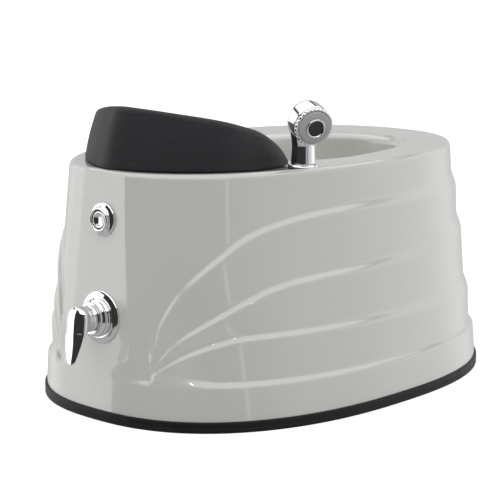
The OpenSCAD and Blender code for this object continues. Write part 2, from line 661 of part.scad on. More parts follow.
// The pipe leaves the fitting square, bends down and across, and enters the pump's eye
suction_at = oval(inset_oval(bowl_oval, wall_inset(suction_z)), 0);
suction_out = [0, suction_at[1] - 36.2 * cos(wall_lean), suction_z - 36.2 * sin(wall_lean)];
suction_way = [0, cos(wall_lean), sin(wall_lean)];
suction_route = [suction_out, suction_out - 4 * suction_way, suction_out - 8 * suction_way,
    [-4, -115, 149], [-16, -123, 139], [-36, -122.5, 130], [-56, -118, 125.5],
    [pump_x + 18, -115, pump_z], [pump_x + 5.3, -119.3, pump_z], [pump_x, -131, pump_z],
    [pump_x, -136, pump_z], [pump_x, volute_y[1] + 0.2, pump_z]];
module suction_pipe() color(white_plastic) tube(suction_route, 2 * pipe_r, 2, 14);
module at_pump(y) translate([pump_x, y, pump_z]) rotate([-90, 0, 0]) children();
volute_l = volute_y[1] - volute_y[0];
module pump_housing() {
    color(black_rubber) difference() {
        union() {
            at_pump(volute_y[0]) cylinder(r = 50, h = volute_l);
            translate([riser_x, riser_y, pump_z]) cylinder(r = 12, h = 62);
        }
        at_pump(volute_y[0] + 5) cylinder(r = 44, h = volute_l - 10);
        at_pump(volute_y[0] - 2) cylinder(r = 5.05, h = 12);
        at_pump(volute_y[0] + 5) cylinder(r = 10, h = volute_l + 8);
        translate([riser_x, riser_y, pump_z]) cylinder(r = 8, h = 70);
    }
}
motor_l = 112;
module pump_motor() {
    color(steel) difference() {
        union() {
            at_pump(volute_y[0] - motor_l - 0.1) cylinder(r = 40, h = motor_l);
            at_pump(volute_y[0] - motor_l - 6) cylinder(r = 34, h = 8);
            translate([pump_x - 18, volute_y[0] - 85, pump_z + 34]) cube([36, 50, 22]);
        }
        at_pump(volute_y[0] - 60) cylinder(r = 30, h = 55);
        at_pump(volute_y[0] - 8) cylinder(r = 5.05, h = 12);
        at_pump(volute_y[0] - 72) cylinder(r = 5.05, h = 20);
    }
}
module pump_shaft() color(steel) at_pump(volute_y[0] - 70) cylinder(r = 5, h = 88);
module pump_impeller() {
    color(white_plastic) at_pump(volute_y[0] + 8) difference() {
        union() {
            cylinder(r = 40, h = 3);
            for (a = steps(6)) rotate([0, 0, a]) translate([11, 0, 2.5])
                rotate([0, 0, 35]) cube([26, 2.5, 13]);
            cylinder(r = 12, h = 9);
        }
        translate([0, 0, -1]) cylinder(r = 5.01, h = 12);
    }
}
module pump_bracket() {
    color(steel) difference() {
        union() {
            translate([pump_x - 40, volute_y[0] - 100, board_h]) cube([80, 90, 3]);
            for (y = [-100, -13]) translate([pump_x - 34, volute_y[0] + y, board_h])
                cube([68, 3, pump_z - 30 - board_h]);
        }
        at_pump(volute_y[0] - motor_l - 10) cylinder(r = 40.2, h = motor_l + 20);
        for (x = [-36.5, 36.5], y = [-80, -30]) translate([pump_x + x, volute_y[0] + y, 10])
            cylinder(r = 2.3, h = 12);
    }
}
module pump_screws() {
    color(steel) for (x = [-36.5, 36.5], y = [-80, -30])
        translate([pump_x + x, volute_y[0] + y, board_h]) {
            translate([0, 0, 3.1]) cylinder(r = 4, h = 2.5, $fn = 6);
            translate([0, 0, 0.1]) cylinder(r = 2.2, h = 3.2);
        }
}
jet_s = 17;                // angle of each jet from the nose end of the bowl
jet_z = 220;
manifold_y = -146;
elbow_back = 54;           // distance behind the wall of the elbow at each jet
jet_elbow = let (p = inset_oval(bowl_oval, wall_inset(jet_z)), q = oval(p, jet_s),
    n = outward(p, jet_s) * elbow_back)
    [q[0] + n[0] * cos(wall_lean), q[1] + n[1] * cos(wall_lean), jet_z - elbow_back * sin(wall_lean)];
riser_x = -jet_elbow[0];
module jet_place(side) on_wall(side * jet_s, jet_z) children();
module jet_body(side) {
    color(white_plastic) jet_place(side) difference() {
        union() {
            translate([0, 0, -34]) cylinder(r = 19, h = 39);
            translate([0, 0, 4]) cylinder(r1 = 25, r2 = 23.5, h = 3);
        }
        translate([0, 0, -12]) cylinder(r = 14.05, h = 30);
        translate([0, 0, -40]) cylinder(r = 8, h = 46);
    }
}
// The nozzle turns in its body, and its hole leans, so that turning it steers the jet
module jet_nozzle(side) {
    color(chrome) jet_place(side) difference() {
        union() {
            translate([0, 0, -11.8]) cylinder(r = 14, h = 19.4);
            translate([0, 0, 7.3]) cylinder(r1 = 21, r2 = 18, h = 4);
        }
        translate([0, 0, -13]) rotate([14, 0, 0]) translate([0, 0, -10]) cylinder(r = 5, h = 60);
    }
}
module jet_body_left() jet_body(-1);
module jet_body_right() jet_body(1);
module jet_nozzle_left() jet_nozzle(-1);
module jet_nozzle_right() jet_nozzle(1);
riser_r = 11.9;
riser_y = (volute_y[0] + volute_y[1]) / 2;
module pressure_pipe() {
    color(white_plastic) {
        translate([riser_x, riser_y, pump_z + 62.1])
            cylinder(r = riser_r, h = jet_elbow[2] - pump_z - 62.1);
        translate([riser_x, riser_y, jet_elbow[2]]) sphere(r = riser_r + elbow_bead);
        translate([riser_x, riser_y, jet_elbow[2]]) rotate([-90, 0, 0])
            cylinder(r = riser_r, h = jet_elbow[1] - riser_y);
        translate([riser_x, manifold_y, jet_elbow[2]]) rotate([0, 90, 0])
            cylinder(r = riser_r - 0.7, h = -2 * riser_x);
        translate([-riser_x, manifold_y, jet_elbow[2]]) sphere(r = riser_r + elbow_bead);
        translate([-riser_x, manifold_y, jet_elbow[2]]) rotate([-90, 0, 0])
            cylinder(r = riser_r, h = jet_elbow[1] - manifold_y);
        for (side = [-1, 1]) jet_place(side) {
            translate([0, 0, -elbow_back]) sphere(r = riser_r + elbow_bead);
            translate([0, 0, -elbow_back]) cylinder(r = riser_r, h = elbow_back - 34.2);
        }
    }
}
module cable_gland() {
    color(black_rubber) gland_place() difference() {
        union() {
            translate([0, 0, -8]) cylinder(r = 8, h = 26);
            translate([0, 0, 16]) cylinder(r = 12, h = 5, $fn = 6);
            translate([0, 0, 21]) cylinder(r1 = 9, r2 = 6.5, h = 9);
        }
        translate([0, 0, -20]) cylinder(r = 4, h = 60);
    }
}

outer_shell();
bowl_deck();
base_trim();
base_board();
base_screws();
footrest_pad();
footrest_board();
footrest_pins();
pin_grommets();
mixer_plate();
mixer_body();
mixer_locknut();
mixer_cartridge();
bonnet_nut();
lever_hub();
mixer_lever();
lever_screw();
hot_inlet();
cold_inlet();
hose_outlet();
button_housing();
button_locknut();
button_cap();
button_bellows();
air_tube();
air_switch();
shower_holder();
shower_gasket();
shower_locknut();
shower_hose();
hose_nut();
shower_stem();
shower_head();
spray_ring();
nozzle_plate();
outlet_ring();
centre_outlet();
drain_flange();
drain_gasket();
drain_body();
drain_locknut();
drain_tail();
drain_stopper();
suction_fitting();
suction_cover();
suction_pipe();
pump_housing();
pump_motor();
pump_shaft();
pump_impeller();
pump_bracket();
pump_screws();
pressure_pipe();
jet_body_left();
jet_body_right();
jet_nozzle_left();
jet_nozzle_right();
cable_gland();
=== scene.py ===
import math
from functools import partialmethod

import bmesh
import bpy
import numpy as np
from mathutils import Matrix, Vector


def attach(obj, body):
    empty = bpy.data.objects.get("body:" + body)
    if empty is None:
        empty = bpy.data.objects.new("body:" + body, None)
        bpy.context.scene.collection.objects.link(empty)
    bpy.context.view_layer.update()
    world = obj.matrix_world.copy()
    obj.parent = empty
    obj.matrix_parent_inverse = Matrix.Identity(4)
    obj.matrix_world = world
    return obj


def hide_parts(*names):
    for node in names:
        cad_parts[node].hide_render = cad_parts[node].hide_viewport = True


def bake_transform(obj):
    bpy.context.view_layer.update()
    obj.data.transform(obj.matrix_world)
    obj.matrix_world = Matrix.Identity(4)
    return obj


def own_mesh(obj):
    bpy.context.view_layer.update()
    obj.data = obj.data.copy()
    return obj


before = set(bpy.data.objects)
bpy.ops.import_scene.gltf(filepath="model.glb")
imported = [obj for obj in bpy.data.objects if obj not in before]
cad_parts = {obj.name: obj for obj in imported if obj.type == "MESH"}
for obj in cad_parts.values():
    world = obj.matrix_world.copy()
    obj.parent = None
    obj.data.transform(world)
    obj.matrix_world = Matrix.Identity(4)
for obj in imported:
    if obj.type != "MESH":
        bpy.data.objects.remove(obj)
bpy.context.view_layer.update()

scene = bpy.context.scene

# Camera --------------------------------------------------
# A long lens from just above the deck, looking past the nose along the shower's side
# of the tub, as a catalogue picture of it is taken.
CAMERA_TURN = 0.716
CAMERA_AWAY = 2.5008
CAMERA_HEIGHT = 0.68
CAMERA_YAW = 0.0135
CAMERA_DIP = 0.1872
lens = bpy.data.cameras.new("catalogue_lens")
lens.sensor_width = 36.0
lens.lens = 118.41
camera = bpy.data.objects.new("catalogue_camera", lens)
camera.location = (CAMERA_AWAY * math.sin(CAMERA_TURN), -CAMERA_AWAY * math.cos(CAMERA_TURN),
                   CAMERA_HEIGHT)
camera.rotation_euler = (math.pi / 2 - CAMERA_DIP, 0, CAMERA_TURN + CAMERA_YAW)
scene.collection.objects.link(camera)
scene.camera = camera

# Studio --------------------------------------------------
# A white sweep for a floor, in an even pale room that lights the tub. Gloss and chrome
# mirror a darker room with white walls and ceiling, so that they have dark bands.
ROOM_TURN = math.radians(41.0)
LAMP_PLACES = ((1.9, -2.6, 2.5), (2.7, -1.6, 2.6), (0.4, -2.9, 2.7))
LAMP_AIM = Vector((0.1, 0.0, 0.2))


class Wire:
    """A node's output socket, with arithmetic that adds Math nodes to its tree."""

    def __init__(self, net, socket):
        self.net = net
        self.socket = socket

    def maths(self, operation, *others, **settings):
        inputs = dict(enumerate((self, *others)))
        return self.net.add("ShaderNodeMath", inputs, operation=operation, **settings)

    __add__ = partialmethod(maths, "ADD")
    __radd__ = partialmethod(maths, "ADD")
    __sub__ = partialmethod(maths, "SUBTRACT")
    __mul__ = partialmethod(maths, "MULTIPLY")
    __rmul__ = partialmethod(maths, "MULTIPLY")
    __truediv__ = partialmethod(maths, "DIVIDE")
    __pow__ = partialmethod(maths, "POWER")
    __neg__ = partialmethod(maths, "MULTIPLY", -1.0)
    clamp = partialmethod(maths, "ADD", 0.0, use_clamp=True)
    least = partialmethod(maths, "MINIMUM")
    most = partialmethod(maths, "MAXIMUM")
    above = partialmethod(maths, "GREATER_THAN")
    size = partialmethod(maths, "ABSOLUTE")

    def __rsub__(self, other):
        return -self + other

    def __rtruediv__(self, other):
        return self ** -1.0 * other

    def signed_power(self, power):
        return self.maths("SIGN") * self.size() ** power

    def beside(self, place):
        """The same node's output at another place."""
        return Wire(self.net, self.socket.node.outputs[place])

    def smooth(self, low, high):
        """0 below low, 1 above high, and an S curve between."""
        t = ((self - low) / (high - low)).clamp()
        return t * t * (3.0 - 2.0 * t)


class Net:
    """A node tree, with one method that adds any node to it."""

    def __init__(self, tree):
        self.tree = tree

    def add(self, kind, sockets=None, out=0, **settings):
        node = self.tree.nodes.new(kind)
        for name, value in settings.items():
            setattr(node, name, value)
        for name, value in (sockets or {}).items():
            self.plug(node.inputs[name], value)
        return Wire(self, node.outputs[out]) if len(node.outputs) else node

    def plug(self, socket, value):
        if isinstance(value, Wire):
            self.tree.links.new(value.socket, socket)
        else:
            socket.default_value = value


sweep_mesh = bpy.data.meshes.new("studio_floor")
sweep_mesh.from_pydata([(-30, -30, 0), (30, -30, 0), (30, 30, 0), (-30, 30, 0)], [],
                       [(0, 1, 2, 3)])
sweep = bpy.data.objects.new("studio_floor", sweep_mesh)
scene.collection.objects.link(sweep)
sweep_look = bpy.data.materials.new("white_sweep")
sweep_look.use_nodes = True
net = Net(sweep_look.node_tree)
sweep_look.node_tree.nodes.clear()
paint = net.add("ShaderNodeBsdfDiffuse", {"Color": (0.62, 0.62, 0.62, 1.0)})
glow = net.add("ShaderNodeEmission", {"Color": (1.0, 1.0, 1.0, 1.0), "Strength": 0.72})
bright = net.add("ShaderNodeAddShader", {0: paint, 1: glow})
seen = net.add("ShaderNodeLightPath")
clear = net.add("ShaderNodeBsdfTransparent", {"Color": (1.0, 1.0, 1.0, 1.0)})
matt = net.add("ShaderNodeMixShader", {0: seen.beside(3), 1: paint, 2: clear})
floor_shade = net.add("ShaderNodeMixShader", {0: seen, 1: matt, 2: bright})
net.add("ShaderNodeOutputMaterial", {"Surface": floor_shade})
sweep_mesh.materials.append(sweep_look)

world = bpy.data.worlds.new("studio_room")
world.use_nodes = True
scene.world = world
net = Net(world.node_tree)
world.node_tree.nodes.clear()
way_x = net.add("ShaderNodeSeparateXYZ", {0: net.add("ShaderNodeTexCoord")})
way_y, way_z = way_x.beside(1), way_x.beside(2)
ahead = way_x * math.sin(ROOM_TURN) - way_y * math.cos(ROOM_TURN)
across = way_x * math.cos(ROOM_TURN) + way_y * math.sin(ROOM_TURN)
turned_by = across.maths("ARCTAN2", ahead) * (180 / math.pi)
leftward = -turned_by
# The even room that lights the tub
room_soft = 0.66 + 0.12 * way_z.smooth(0.3, 0.9) + 0.08 * across.size().smooth(0.4, 0.9)
# What gloss and chrome mirror: dark behind the camera, a white wall on the left with a
# clean edge, a white wall on the right that fades in, and a pale ceiling
left_wall = leftward.smooth(77.4, 78.8) * (1.75 - 0.45 * leftward.smooth(90.0, 112.0)
                                           - 0.75 * leftward.smooth(125.0, 165.0))
right_wall = 0.80 * turned_by.smooth(12.0, 75.0) - 0.25 * turned_by.smooth(135.0, 170.0) + \
    0.45 * turned_by.smooth(75.0, 105.0) * (1.0 - turned_by.smooth(125.0, 155.0))
slit = turned_by.smooth(26.4, 27.6) * (1.0 - turned_by.smooth(28.4, 29.6)) * 1.3
walls = (left_wall + right_wall + slit) * (1.0 - way_z.smooth(0.45, 0.52))
ceiling = 1.7 * way_z.smooth(0.54, 0.64)
near_floor = 0.45 * (-way_z).smooth(0.26, 0.4)
room_mirror = 0.04 + walls * (1.0 - (-way_z).smooth(0.26, 0.4)) + ceiling + near_floor
path = net.add("ShaderNodeLightPath")
mirrored = net.add("ShaderNodeMix", {0: path.beside(3), 2: room_soft, 3: room_mirror},
                   data_type="FLOAT")
strength = net.add("ShaderNodeMix", {0: path, 2: mirrored, 3: 1.0}, data_type="FLOAT")
room = net.add("ShaderNodeBackground", {"Color": (1.0, 1.0, 1.0, 1.0),
                                        "Strength": strength})
net.add("ShaderNodeOutputWorld", {"Surface": room})

for lamp_number, lamp_place in enumerate(LAMP_PLACES):
    light = bpy.data.lights.new(f"spot_lamp_{lamp_number}", "AREA")
    light.size = 0.10
    light.energy = 1.2
    lamp = bpy.data.objects.new(f"spot_lamp_{lamp_number}", light)
    lamp.location = lamp_place
    lamp.rotation_euler = (LAMP_AIM - Vector(lamp_place)).to_track_quat("-Z", "Y").to_euler()
    scene.collection.objects.link(lamp)
scene.view_settings.view_transform = "Standard"

# Skirt ---------------------------------------------------
# The skirt is one glass-fibre moulding in glossy gelcoat, bonded to the deck at the rim
# and screwed to the base board. It is flat at the nose, and three ridges a side fan out
# of the panel's foot and run round the tub above a plain base band.
RIM_Z = 360.0
BASE_OVAL = (280.0, 372.0, 0.054, 2.44, 0.0)
RIM_OVAL = (226.0, 352.0, 0.041, 2.22, 4.0)
SKIRT_TOP = 350.0
SKIRT_FOOT = 12.0
SKIRT_WALL = 10.0
FLANGE_W, FLANGE_T = 24.0, 5.0
PANEL_TOP_W = 42.0
PANEL_FLARE = 32.0
PANEL_ANGLE = 10.0
FAN_ANGLE = 18.0
CREASE_SOFT = 0.35
FLAT_FROM, FLAT_ABOVE = 66.0, 116.0
RIDGE_STEP = 7.0
LEDGE = 4.2
LEDGE_SOFTENS = 2.6
LEDGE_FAN = 9.0
BAND_Z = 67.0
# Each ridge: its height at angles from the nose
RIDGES = (((18, 107), (20, 136), (24, 171), (28, 195), (34.5, 222), (40.5, 243),
           (48.5, 269), (58, 286), (70, 296), (180, 300)),
          ((18, 86), (20, 95), (24, 115), (28, 130), (34.5, 148), (40.5, 163), (48.5, 182),
           (57, 198), (64.5, 205), (85, 212), (100, 217), (115, 227), (180, 236)),
          ((18, 79), (20, 84.5), (24, 95), (28, 105), (34.5, 117), (40.5, 125), (48.5, 131),
           (70, 133), (180, 131)))
VALLEY_ANGLE = 16.0
VALLEY_DEEP = 3.0
NOSE_CROWD = 0.42
SKIRT_AROUND = 440
SKIRT_ROWS = 168


def new_finish(name):
    look = bpy.data.materials.new(name)
    look.use_nodes = True
    net = Net(look.node_tree)
    return look, net, net.add("ShaderNodeTexCoord", out=3)


def noise(net, place, scale, detail=2.0, rough=0.5):
    return net.add("ShaderNodeTexNoise", {"Vector": place, "Scale": scale,
                                          "Detail": detail, "Roughness": rough})


def bumped(net, height, distance, strength):
    return net.add("ShaderNodeBump", {"Height": height, "Distance": distance,
                                      "Strength": strength})


def between(net, share, low, high):
    """A colour between two colours."""
    return net.add("ShaderNodeMix", {0: share, 6: (*low, 1.0), 7: (*high, 1.0)}, 2,
                   data_type="RGBA")


def set_shader(net, **values):
    """Sets inputs of the material's shader, each to a number or to a wire."""
    inputs = net.tree.nodes["Principled BSDF"].inputs
    for name, value in values.items():
        net.plug(inputs[name.replace("_", " ").title().replace("Ior", "IOR")], value)


def gelcoat_finish():
    look, net, place = new_finish("gelcoat")
    cloud = noise(net, place, 7.0, 3.0)
    fleck = noise(net, place, 380.0, 2.0)
    tone = (cloud * 0.75 + fleck * 0.25).clamp()
    ripple = noise(net, place, 16.0, 1.0, 0.4)
    peel = noise(net, place, 150.0, 2.0, 0.5)
    set_shader(net, base_color=between(net, tone, (0.66, 0.66, 0.62), (0.73, 0.73, 0.688)),
               roughness=0.24 + 0.10 * cloud, coat_weight=1.0, coat_roughness=0.03, coat_ior=1.5,
               normal=bumped(net, 0.75 * ripple + 0.25 * peel, 0.0008, 0.28))
    return look


GELCOAT = gelcoat_finish()


def curved(net, value, table):
    """A smooth curve through a table of (input, output), for angles from 0 to 180."""
    highs = [high for _, high in table]
    bottom, top = min(highs), max(highs)
    node = net.tree.nodes.new("ShaderNodeFloatCurve")
    line = node.mapping.curves[0]
    line.points[0].location = (0.0, (highs[0] - bottom) / (top - bottom))
    line.points[1].location = (1.0, (highs[-1] - bottom) / (top - bottom))
    for low, high in table[:-1]:
        line.points.new(low / 180.0, (high - bottom) / (top - bottom))
    node.mapping.update()
    net.plug(node.inputs["Value"], value / 180.0)
    return Wire(net, node.outputs[0]) * (top - bottom) + bottom


def open_group(name, sizes):
    """A geometry group with sizes and a finish to set: its net, and a wire from each."""
    tree = bpy.data.node_groups.new(name, "GeometryNodeTree")
    sockets = tree.interface
    for size, value in sizes.items():
        socket = sockets.new_socket(size, in_out="INPUT", socket_type="NodeSocketFloat")
        socket.default_value = value
    sockets.new_socket("Finish", in_out="INPUT", socket_type="NodeSocketMaterial")
    sockets.new_socket("Geometry", in_out="OUTPUT", socket_type="NodeSocketGeometry")
    net = Net(tree)
    given = {s.name: Wire(net, s) for s in tree.nodes.new("NodeGroupInput").outputs if s.name}
    return net, given


def close_group(net, geometry, finish):
    """Ends a geometry group with a real mesh in its finish."""
    real = net.add("GeometryNodeRealizeInstances", {"Geometry": geometry})
    done = net.add("GeometryNodeSetMaterial", {"Geometry": real, "Material": finish})
    net.add("NodeGroupOutput", {"Geometry": done})
    return net.tree


def skirt_tree():
    net, given = open_group("skirt_moulding", {
        "Rim height": RIM_Z, "Top": SKIRT_TOP, "Foot": SKIRT_FOOT, "Ridge step": RIDGE_STEP,
        "Ledge": LEDGE, "Band height": BAND_Z, "Panel width": PANEL_TOP_W,
        "Panel flare": PANEL_FLARE, "Valley": VALLEY_DEEP})
    rim_z, top, foot = given["Rim height"], given["Top"], given["Foot"]
    step, ledge, band_z = given["Ridge step"], given["Ledge"], given["Band height"]
    rows = SKIRT_ROWS + 4
    grid = net.add("GeometryNodeMeshGrid", {"Size X": 1.0, "Size Y": 1.0,
                                            "Vertices X": SKIRT_AROUND + 1,
                                            "Vertices Y": rows})
    spot = net.add("ShaderNodeSeparateXYZ", {0: net.add("GeometryNodeInputPosition")})
    row = ((spot.beside(1) + 0.5) * (rows - 1)).maths("ROUND")
    # Columns lie closer together at the nose, where the ridges fan out
    full = (spot + 0.5) * (2 * math.pi)
    turn = full - NOSE_CROWD * full.maths("SINE")
    side = 1.0 - 2.0 * turn.above(math.pi)
    n = turn.least(2 * math.pi - turn) * (180 / math.pi)

    # The last rows turn in to a flange on the base board, then up the inner face
    inner = row.above(SKIRT_ROWS - 0.5)
    last = (row - (SKIRT_ROWS - 1)).most(0.0)
    inset = inner * SKIRT_WALL + (last.above(0.5) - last.above(2.5)) * FLANGE_W
    z_out = top - (row / (SKIRT_ROWS - 1.0)).least(1.0) * (top - foot)
    z_in = foot + last.above(1.5) * FLANGE_T + last.above(3.5) * (top - foot - FLANGE_T)
    z = z_out * (1.0 - inner) + z_in * inner

    # The plain outline at this height: the flat panel, a chamfer beside it, then the oval
    h = z / rim_z
    a, b, taper, power, middle = (low + h * (high - low)
                                  for low, high in zip(BASE_OVAL, RIM_OVAL))
    panel_w = given["Panel width"] + given["Panel flare"] * (1.0 - h) ** 1.4
    crease = (panel_w / (a * (1.0 - taper))).maths("POWER", power / 2.0).maths("ARCSINE")
    crease_y = middle - b * (crease.maths("COSINE") ** (2.0 / power))
    m = n.most(FAN_ANGLE) * (math.pi / 180)
    v = -m.maths("COSINE").signed_power(2.0 / power)
    oval_x = a * m.maths("SINE").size() ** (2.0 / power) * (1.0 + taper * v)
    oval_y = b * v + middle
    past = (n - PANEL_ANGLE).least(FAN_ANGLE - PANEL_ANGLE)
    root = (past * past + CREASE_SOFT ** 2).maths("SQRT")
    along = (past + root) * (0.5 / (FAN_ANGLE - PANEL_ANGLE))
    back = (past - root) * (0.5 / PANEL_ANGLE)
    flat_x = panel_w * (1.0 + back) + (oval_x - panel_w) * along
    flat_y = crease_y + (oval_y - crease_y) * along
    angle = n * (math.pi / 180)
    sine, nose_way = angle.maths("SINE").size(), angle.maths("COSINE")
    v = -nose_way.signed_power(2.0 / power)
    # Its flat nose fades into the round base band
    flat = z.smooth(FLAT_FROM, FLAT_ABOVE)
    round_x = a * (sine ** (2.0 / power)) * (1.0 + taper * v)
    x = round_x + (flat_x - round_x) * flat
    y = b * v + middle
    y = y + (flat_y - y) * flat

    # The ridges: a step out at each, and a slow fall back down to the next
    fade = n.smooth(FAN_ANGLE - 0.6, FAN_ANGLE + 2.6)
    broad = ledge * (1.0 + LEDGE_SOFTENS * n.smooth(55.0, 135.0))
    lift = 0.0
    above, ramp = top, 0.5
    for table in RIDGES:
        ridge = curved(net, n, table)
        slope = (curved(net, n + 0.7, table) - curved(net, n - 0.7, table)) / (1.4 * 5.0)
        width = broad * (slope * slope + 1.0).maths("SQRT")
        stepped = (ridge - z).smooth(-width, width)
        lift = lift + stepped - ramp * ((above - z) / (above - ridge)).clamp()
        above, ramp = ridge, 1.0
    last_fall = ((above - z) / (above - band_z)).clamp()
    foot_fall = ((band_z - z) / (band_z - foot)).clamp()
    fan = fade * step * (lift - 0.5 * last_fall)
    slant = ledge + LEDGE_FAN * (1.0 - n.smooth(19.0, 42.0)) * n.smooth(17.0, 20.0)
    band_step = (band_z + slant - ledge - z).smooth(-slant, slant)
    band = step * n.smooth(4.0, 22.0) * (band_step - 0.5 * last_fall - 0.5 * foot_fall)
    valley = (1.0 - ((n - VALLEY_ANGLE) / 3.4).size().smooth(0.0, 1.0)) * \
        z.smooth(66.0, 84.0) * (1.0 - z.smooth(105.0, 160.0)) * given["Valley"]
    out = (fan + band - valley) * (1.0 - inner) - inset

    # Pushed square to the oval
    nx = ((sine ** (2.0 / power)) ** (power - 1.0)) / a
    ny = -nose_way.maths("SIGN") * (((nose_way.size() ** (2.0 / power)) ** (power - 1.0)) / b)
    length = (nx * nx + ny * ny).maths("SQRT")
    place = net.add("ShaderNodeCombineXYZ", {0: side * (x + out * nx / length) * 0.001,
                                             1: (y + out * ny / length) * 0.001,
                                             2: z * 0.001})
    bent = net.add("GeometryNodeSetPosition", {"Geometry": grid, "Position": place})
    closed = net.add("GeometryNodeMergeByDistance", {"Geometry": bent, "Distance": 6e-5})
    return close_group(net, closed, given["Finish"])


def bake_tree(name, tree, values, base=None):
    """Runs a geometry tree once and returns its result as a plain mesh."""
    maker = bpy.data.objects.new(name + "_maker", base or bpy.data.meshes.new(name + "_base"))
    scene.collection.objects.link(maker)
    modifier = maker.modifiers.new("maker", "NODES")
    modifier.node_group = tree
    for item in tree.interface.items_tree:
        if item.item_type == "SOCKET" and item.in_out == "INPUT" and item.name in values:
            modifier[item.identifier] = values[item.name]
    ready = maker.evaluated_get(bpy.context.evaluated_depsgraph_get())
    mesh = bpy.data.meshes.new_from_object(ready)
    mesh.name = name
    maker.modifiers.remove(modifier)
    bpy.data.objects.remove(maker)
    return mesh


def tidy_mesh(mesh):
    """Merges doubled points and turns every face outwards."""
    work = bmesh.new()
    work.from_mesh(mesh)
    bmesh.ops.remove_doubles(work, verts=work.verts, dist=1e-6)
    bmesh.ops.dissolve_degenerate(work, edges=work.edges, dist=1e-7)
    bmesh.ops.recalc_face_normals(work, faces=work.faces)
    work.to_mesh(mesh)
    work.free()
    return mesh


def put_piece(name, mesh, body, finish, nodes=(), crease=35.0):
    """Adds a finished piece that rides on a body and stands for CAD nodes."""
    piece = bpy.data.objects.new(name, mesh)
    scene.collection.objects.link(piece)
    mesh.materials.clear()
    mesh.materials.append(finish)
    mesh.shade_smooth()
    mesh.set_sharp_from_angle(angle=math.radians(crease))
    if body:
        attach(piece, body)
    if nodes:
        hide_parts(*nodes)
    return piece


skirt = tidy_mesh(bake_tree("skirt", skirt_tree(), {"Finish": GELCOAT}))
put_piece("skirt", skirt, "tub", GELCOAT, ["outer_shell"], crease=50.0)

# Deck and bowl -------------------------------------------
# The deck, its rolled rim and the foot bowl are the second moulding, in the same gelcoat.
# The deck falls a little to the bowl, and the holes for its fittings are drilled.
BOWL_OVAL = (138.0, 187.0, -0.06, 2.5, 98.0)
RIM_ROUND = 8.0
DECK_FALL = 7.0
DECK_SHARE = 0.39
LIP_ROUND = 12.0
WALL = 5.0
WALL_IN = 26.0
FLOOR_ROUND = 40.0
BOWL_FLOOR = 80.0
DRAIN_Y = 90.0
DRAIN_HOLE = 26.0
LIP_Z = RIM_Z - DECK_FALL
WALL_LEAN = math.atan(WALL_IN / (LIP_Z - LIP_ROUND - BOWL_FLOOR - FLOOR_ROUND))
SHOWER_X, SHOWER_Y = 182.0, -124.0
PIN_X, PIN_Y = 60.0, -250.0
SUCTION_Z = 162.0
JET_ANGLE, JET_Z = 17.0, 220.0
SPOT_DOWN = 1.8
DECK_AROUND = 288


def signed_pow(v, e):
    return np.sign(v) * np.abs(v) ** e


def oval(p, s):
    """Points of a rounded oval at angles from the nose, anticlockwise from above."""
    a, b, taper, power, middle = p
    c = signed_pow(np.sin(s), 2 / power)
    v = -signed_pow(np.cos(s), 2 / power)
    return np.stack([a * c * (1 + taper * v), b * v + middle], -1)


def inset_oval(p, d):
    return (p[0] - d, p[1] - d, *p[2:])


def oval_out(p, s):
    """Unit vectors square to an oval, pointing out of it."""
    a, b, _, power, _ = p
    e = 2 * (power - 1) / power
    way = np.stack([signed_pow(np.sin(s), e) / a, -signed_pow(np.cos(s), e) / b], -1)
    return way / np.linalg.norm(way, axis=-1, keepdims=True)


def tub_oval(z):
    h = z / RIM_Z
    return tuple(low + h * (high - low) for low, high in zip(BASE_OVAL, RIM_OVAL))


def panel_edge(z):
    """Where the nose panel's crease is: across, and along."""
    a, b, taper, power, middle = tub_oval(z)
    across = PANEL_TOP_W + PANEL_FLARE * (1 - z / RIM_Z) ** 1.4
    crease = math.asin((across / (a * (1 - taper))) ** (power / 2))
    return np.array([across, middle - b * math.cos(crease) ** (2 / power)])


def tub_ring(s, z, out, up=None):
    """The tub's plain outline at a height, pushed out square to the wall."""
    p = tub_oval(z)
    n = np.degrees(np.minimum(s, 2 * math.pi - s))
    side = np.where(s <= math.pi, 1.0, -1.0)
    edge = panel_edge(z)
    share = np.clip((z - FLAT_FROM) / (FLAT_ABOVE - FLAT_FROM), 0, 1)
    share = share * share * (3 - 2 * share)
    round_part = oval(p, np.radians(np.maximum(n, FAN_ANGLE)))
    past = np.minimum(n - PANEL_ANGLE, FAN_ANGLE - PANEL_ANGLE)
    root = np.sqrt(past ** 2 + CREASE_SOFT ** 2)
    along = (past + root)[:, None] * 0.5 / (FAN_ANGLE - PANEL_ANGLE)
    back = (past - root) * 0.5 / PANEL_ANGLE
    flat = edge + (round_part - edge) * along
    flat[:, 0] += edge[0] * back
    rounded = oval(p, np.radians(n))
    flat = rounded + (flat - rounded) * share
    flat += oval_out(p, np.radians(n)) * out
    return np.stack([side * flat[:, 0], flat[:, 1], np.full(len(s), z if up is None else up)], -1)


def deck_z(x, y):
    """Height of the deck's top: level at the rim, and falling to the bowl."""
    u = (y - RIM_OVAL[4]) / RIM_OVAL[1]
    w = RIM_OVAL[0] * (1 + RIM_OVAL[2] * u)
    share = (np.abs(x / w) ** RIM_OVAL[3] + np.abs(u) ** RIM_OVAL[3]) ** (1 / RIM_OVAL[3])
    return RIM_Z - DECK_FALL * np.clip((1 - share) / DECK_SHARE, 0, 1)


def turns(count):
    """Angles spread evenly round a circle."""
    return np.arange(count) * 2 * math.pi / count


def crowded(count):
    """Angles round the tub, closer together at the nose, like the skirt's columns."""
    full = turns(count)
    return full - NOSE_CROWD * np.sin(full)


def with_height(points, z):
    """Flat points with a height added, the same for all or one for each."""
    return np.concatenate([points, np.broadcast_to(z, len(points))[:, None]], 1)


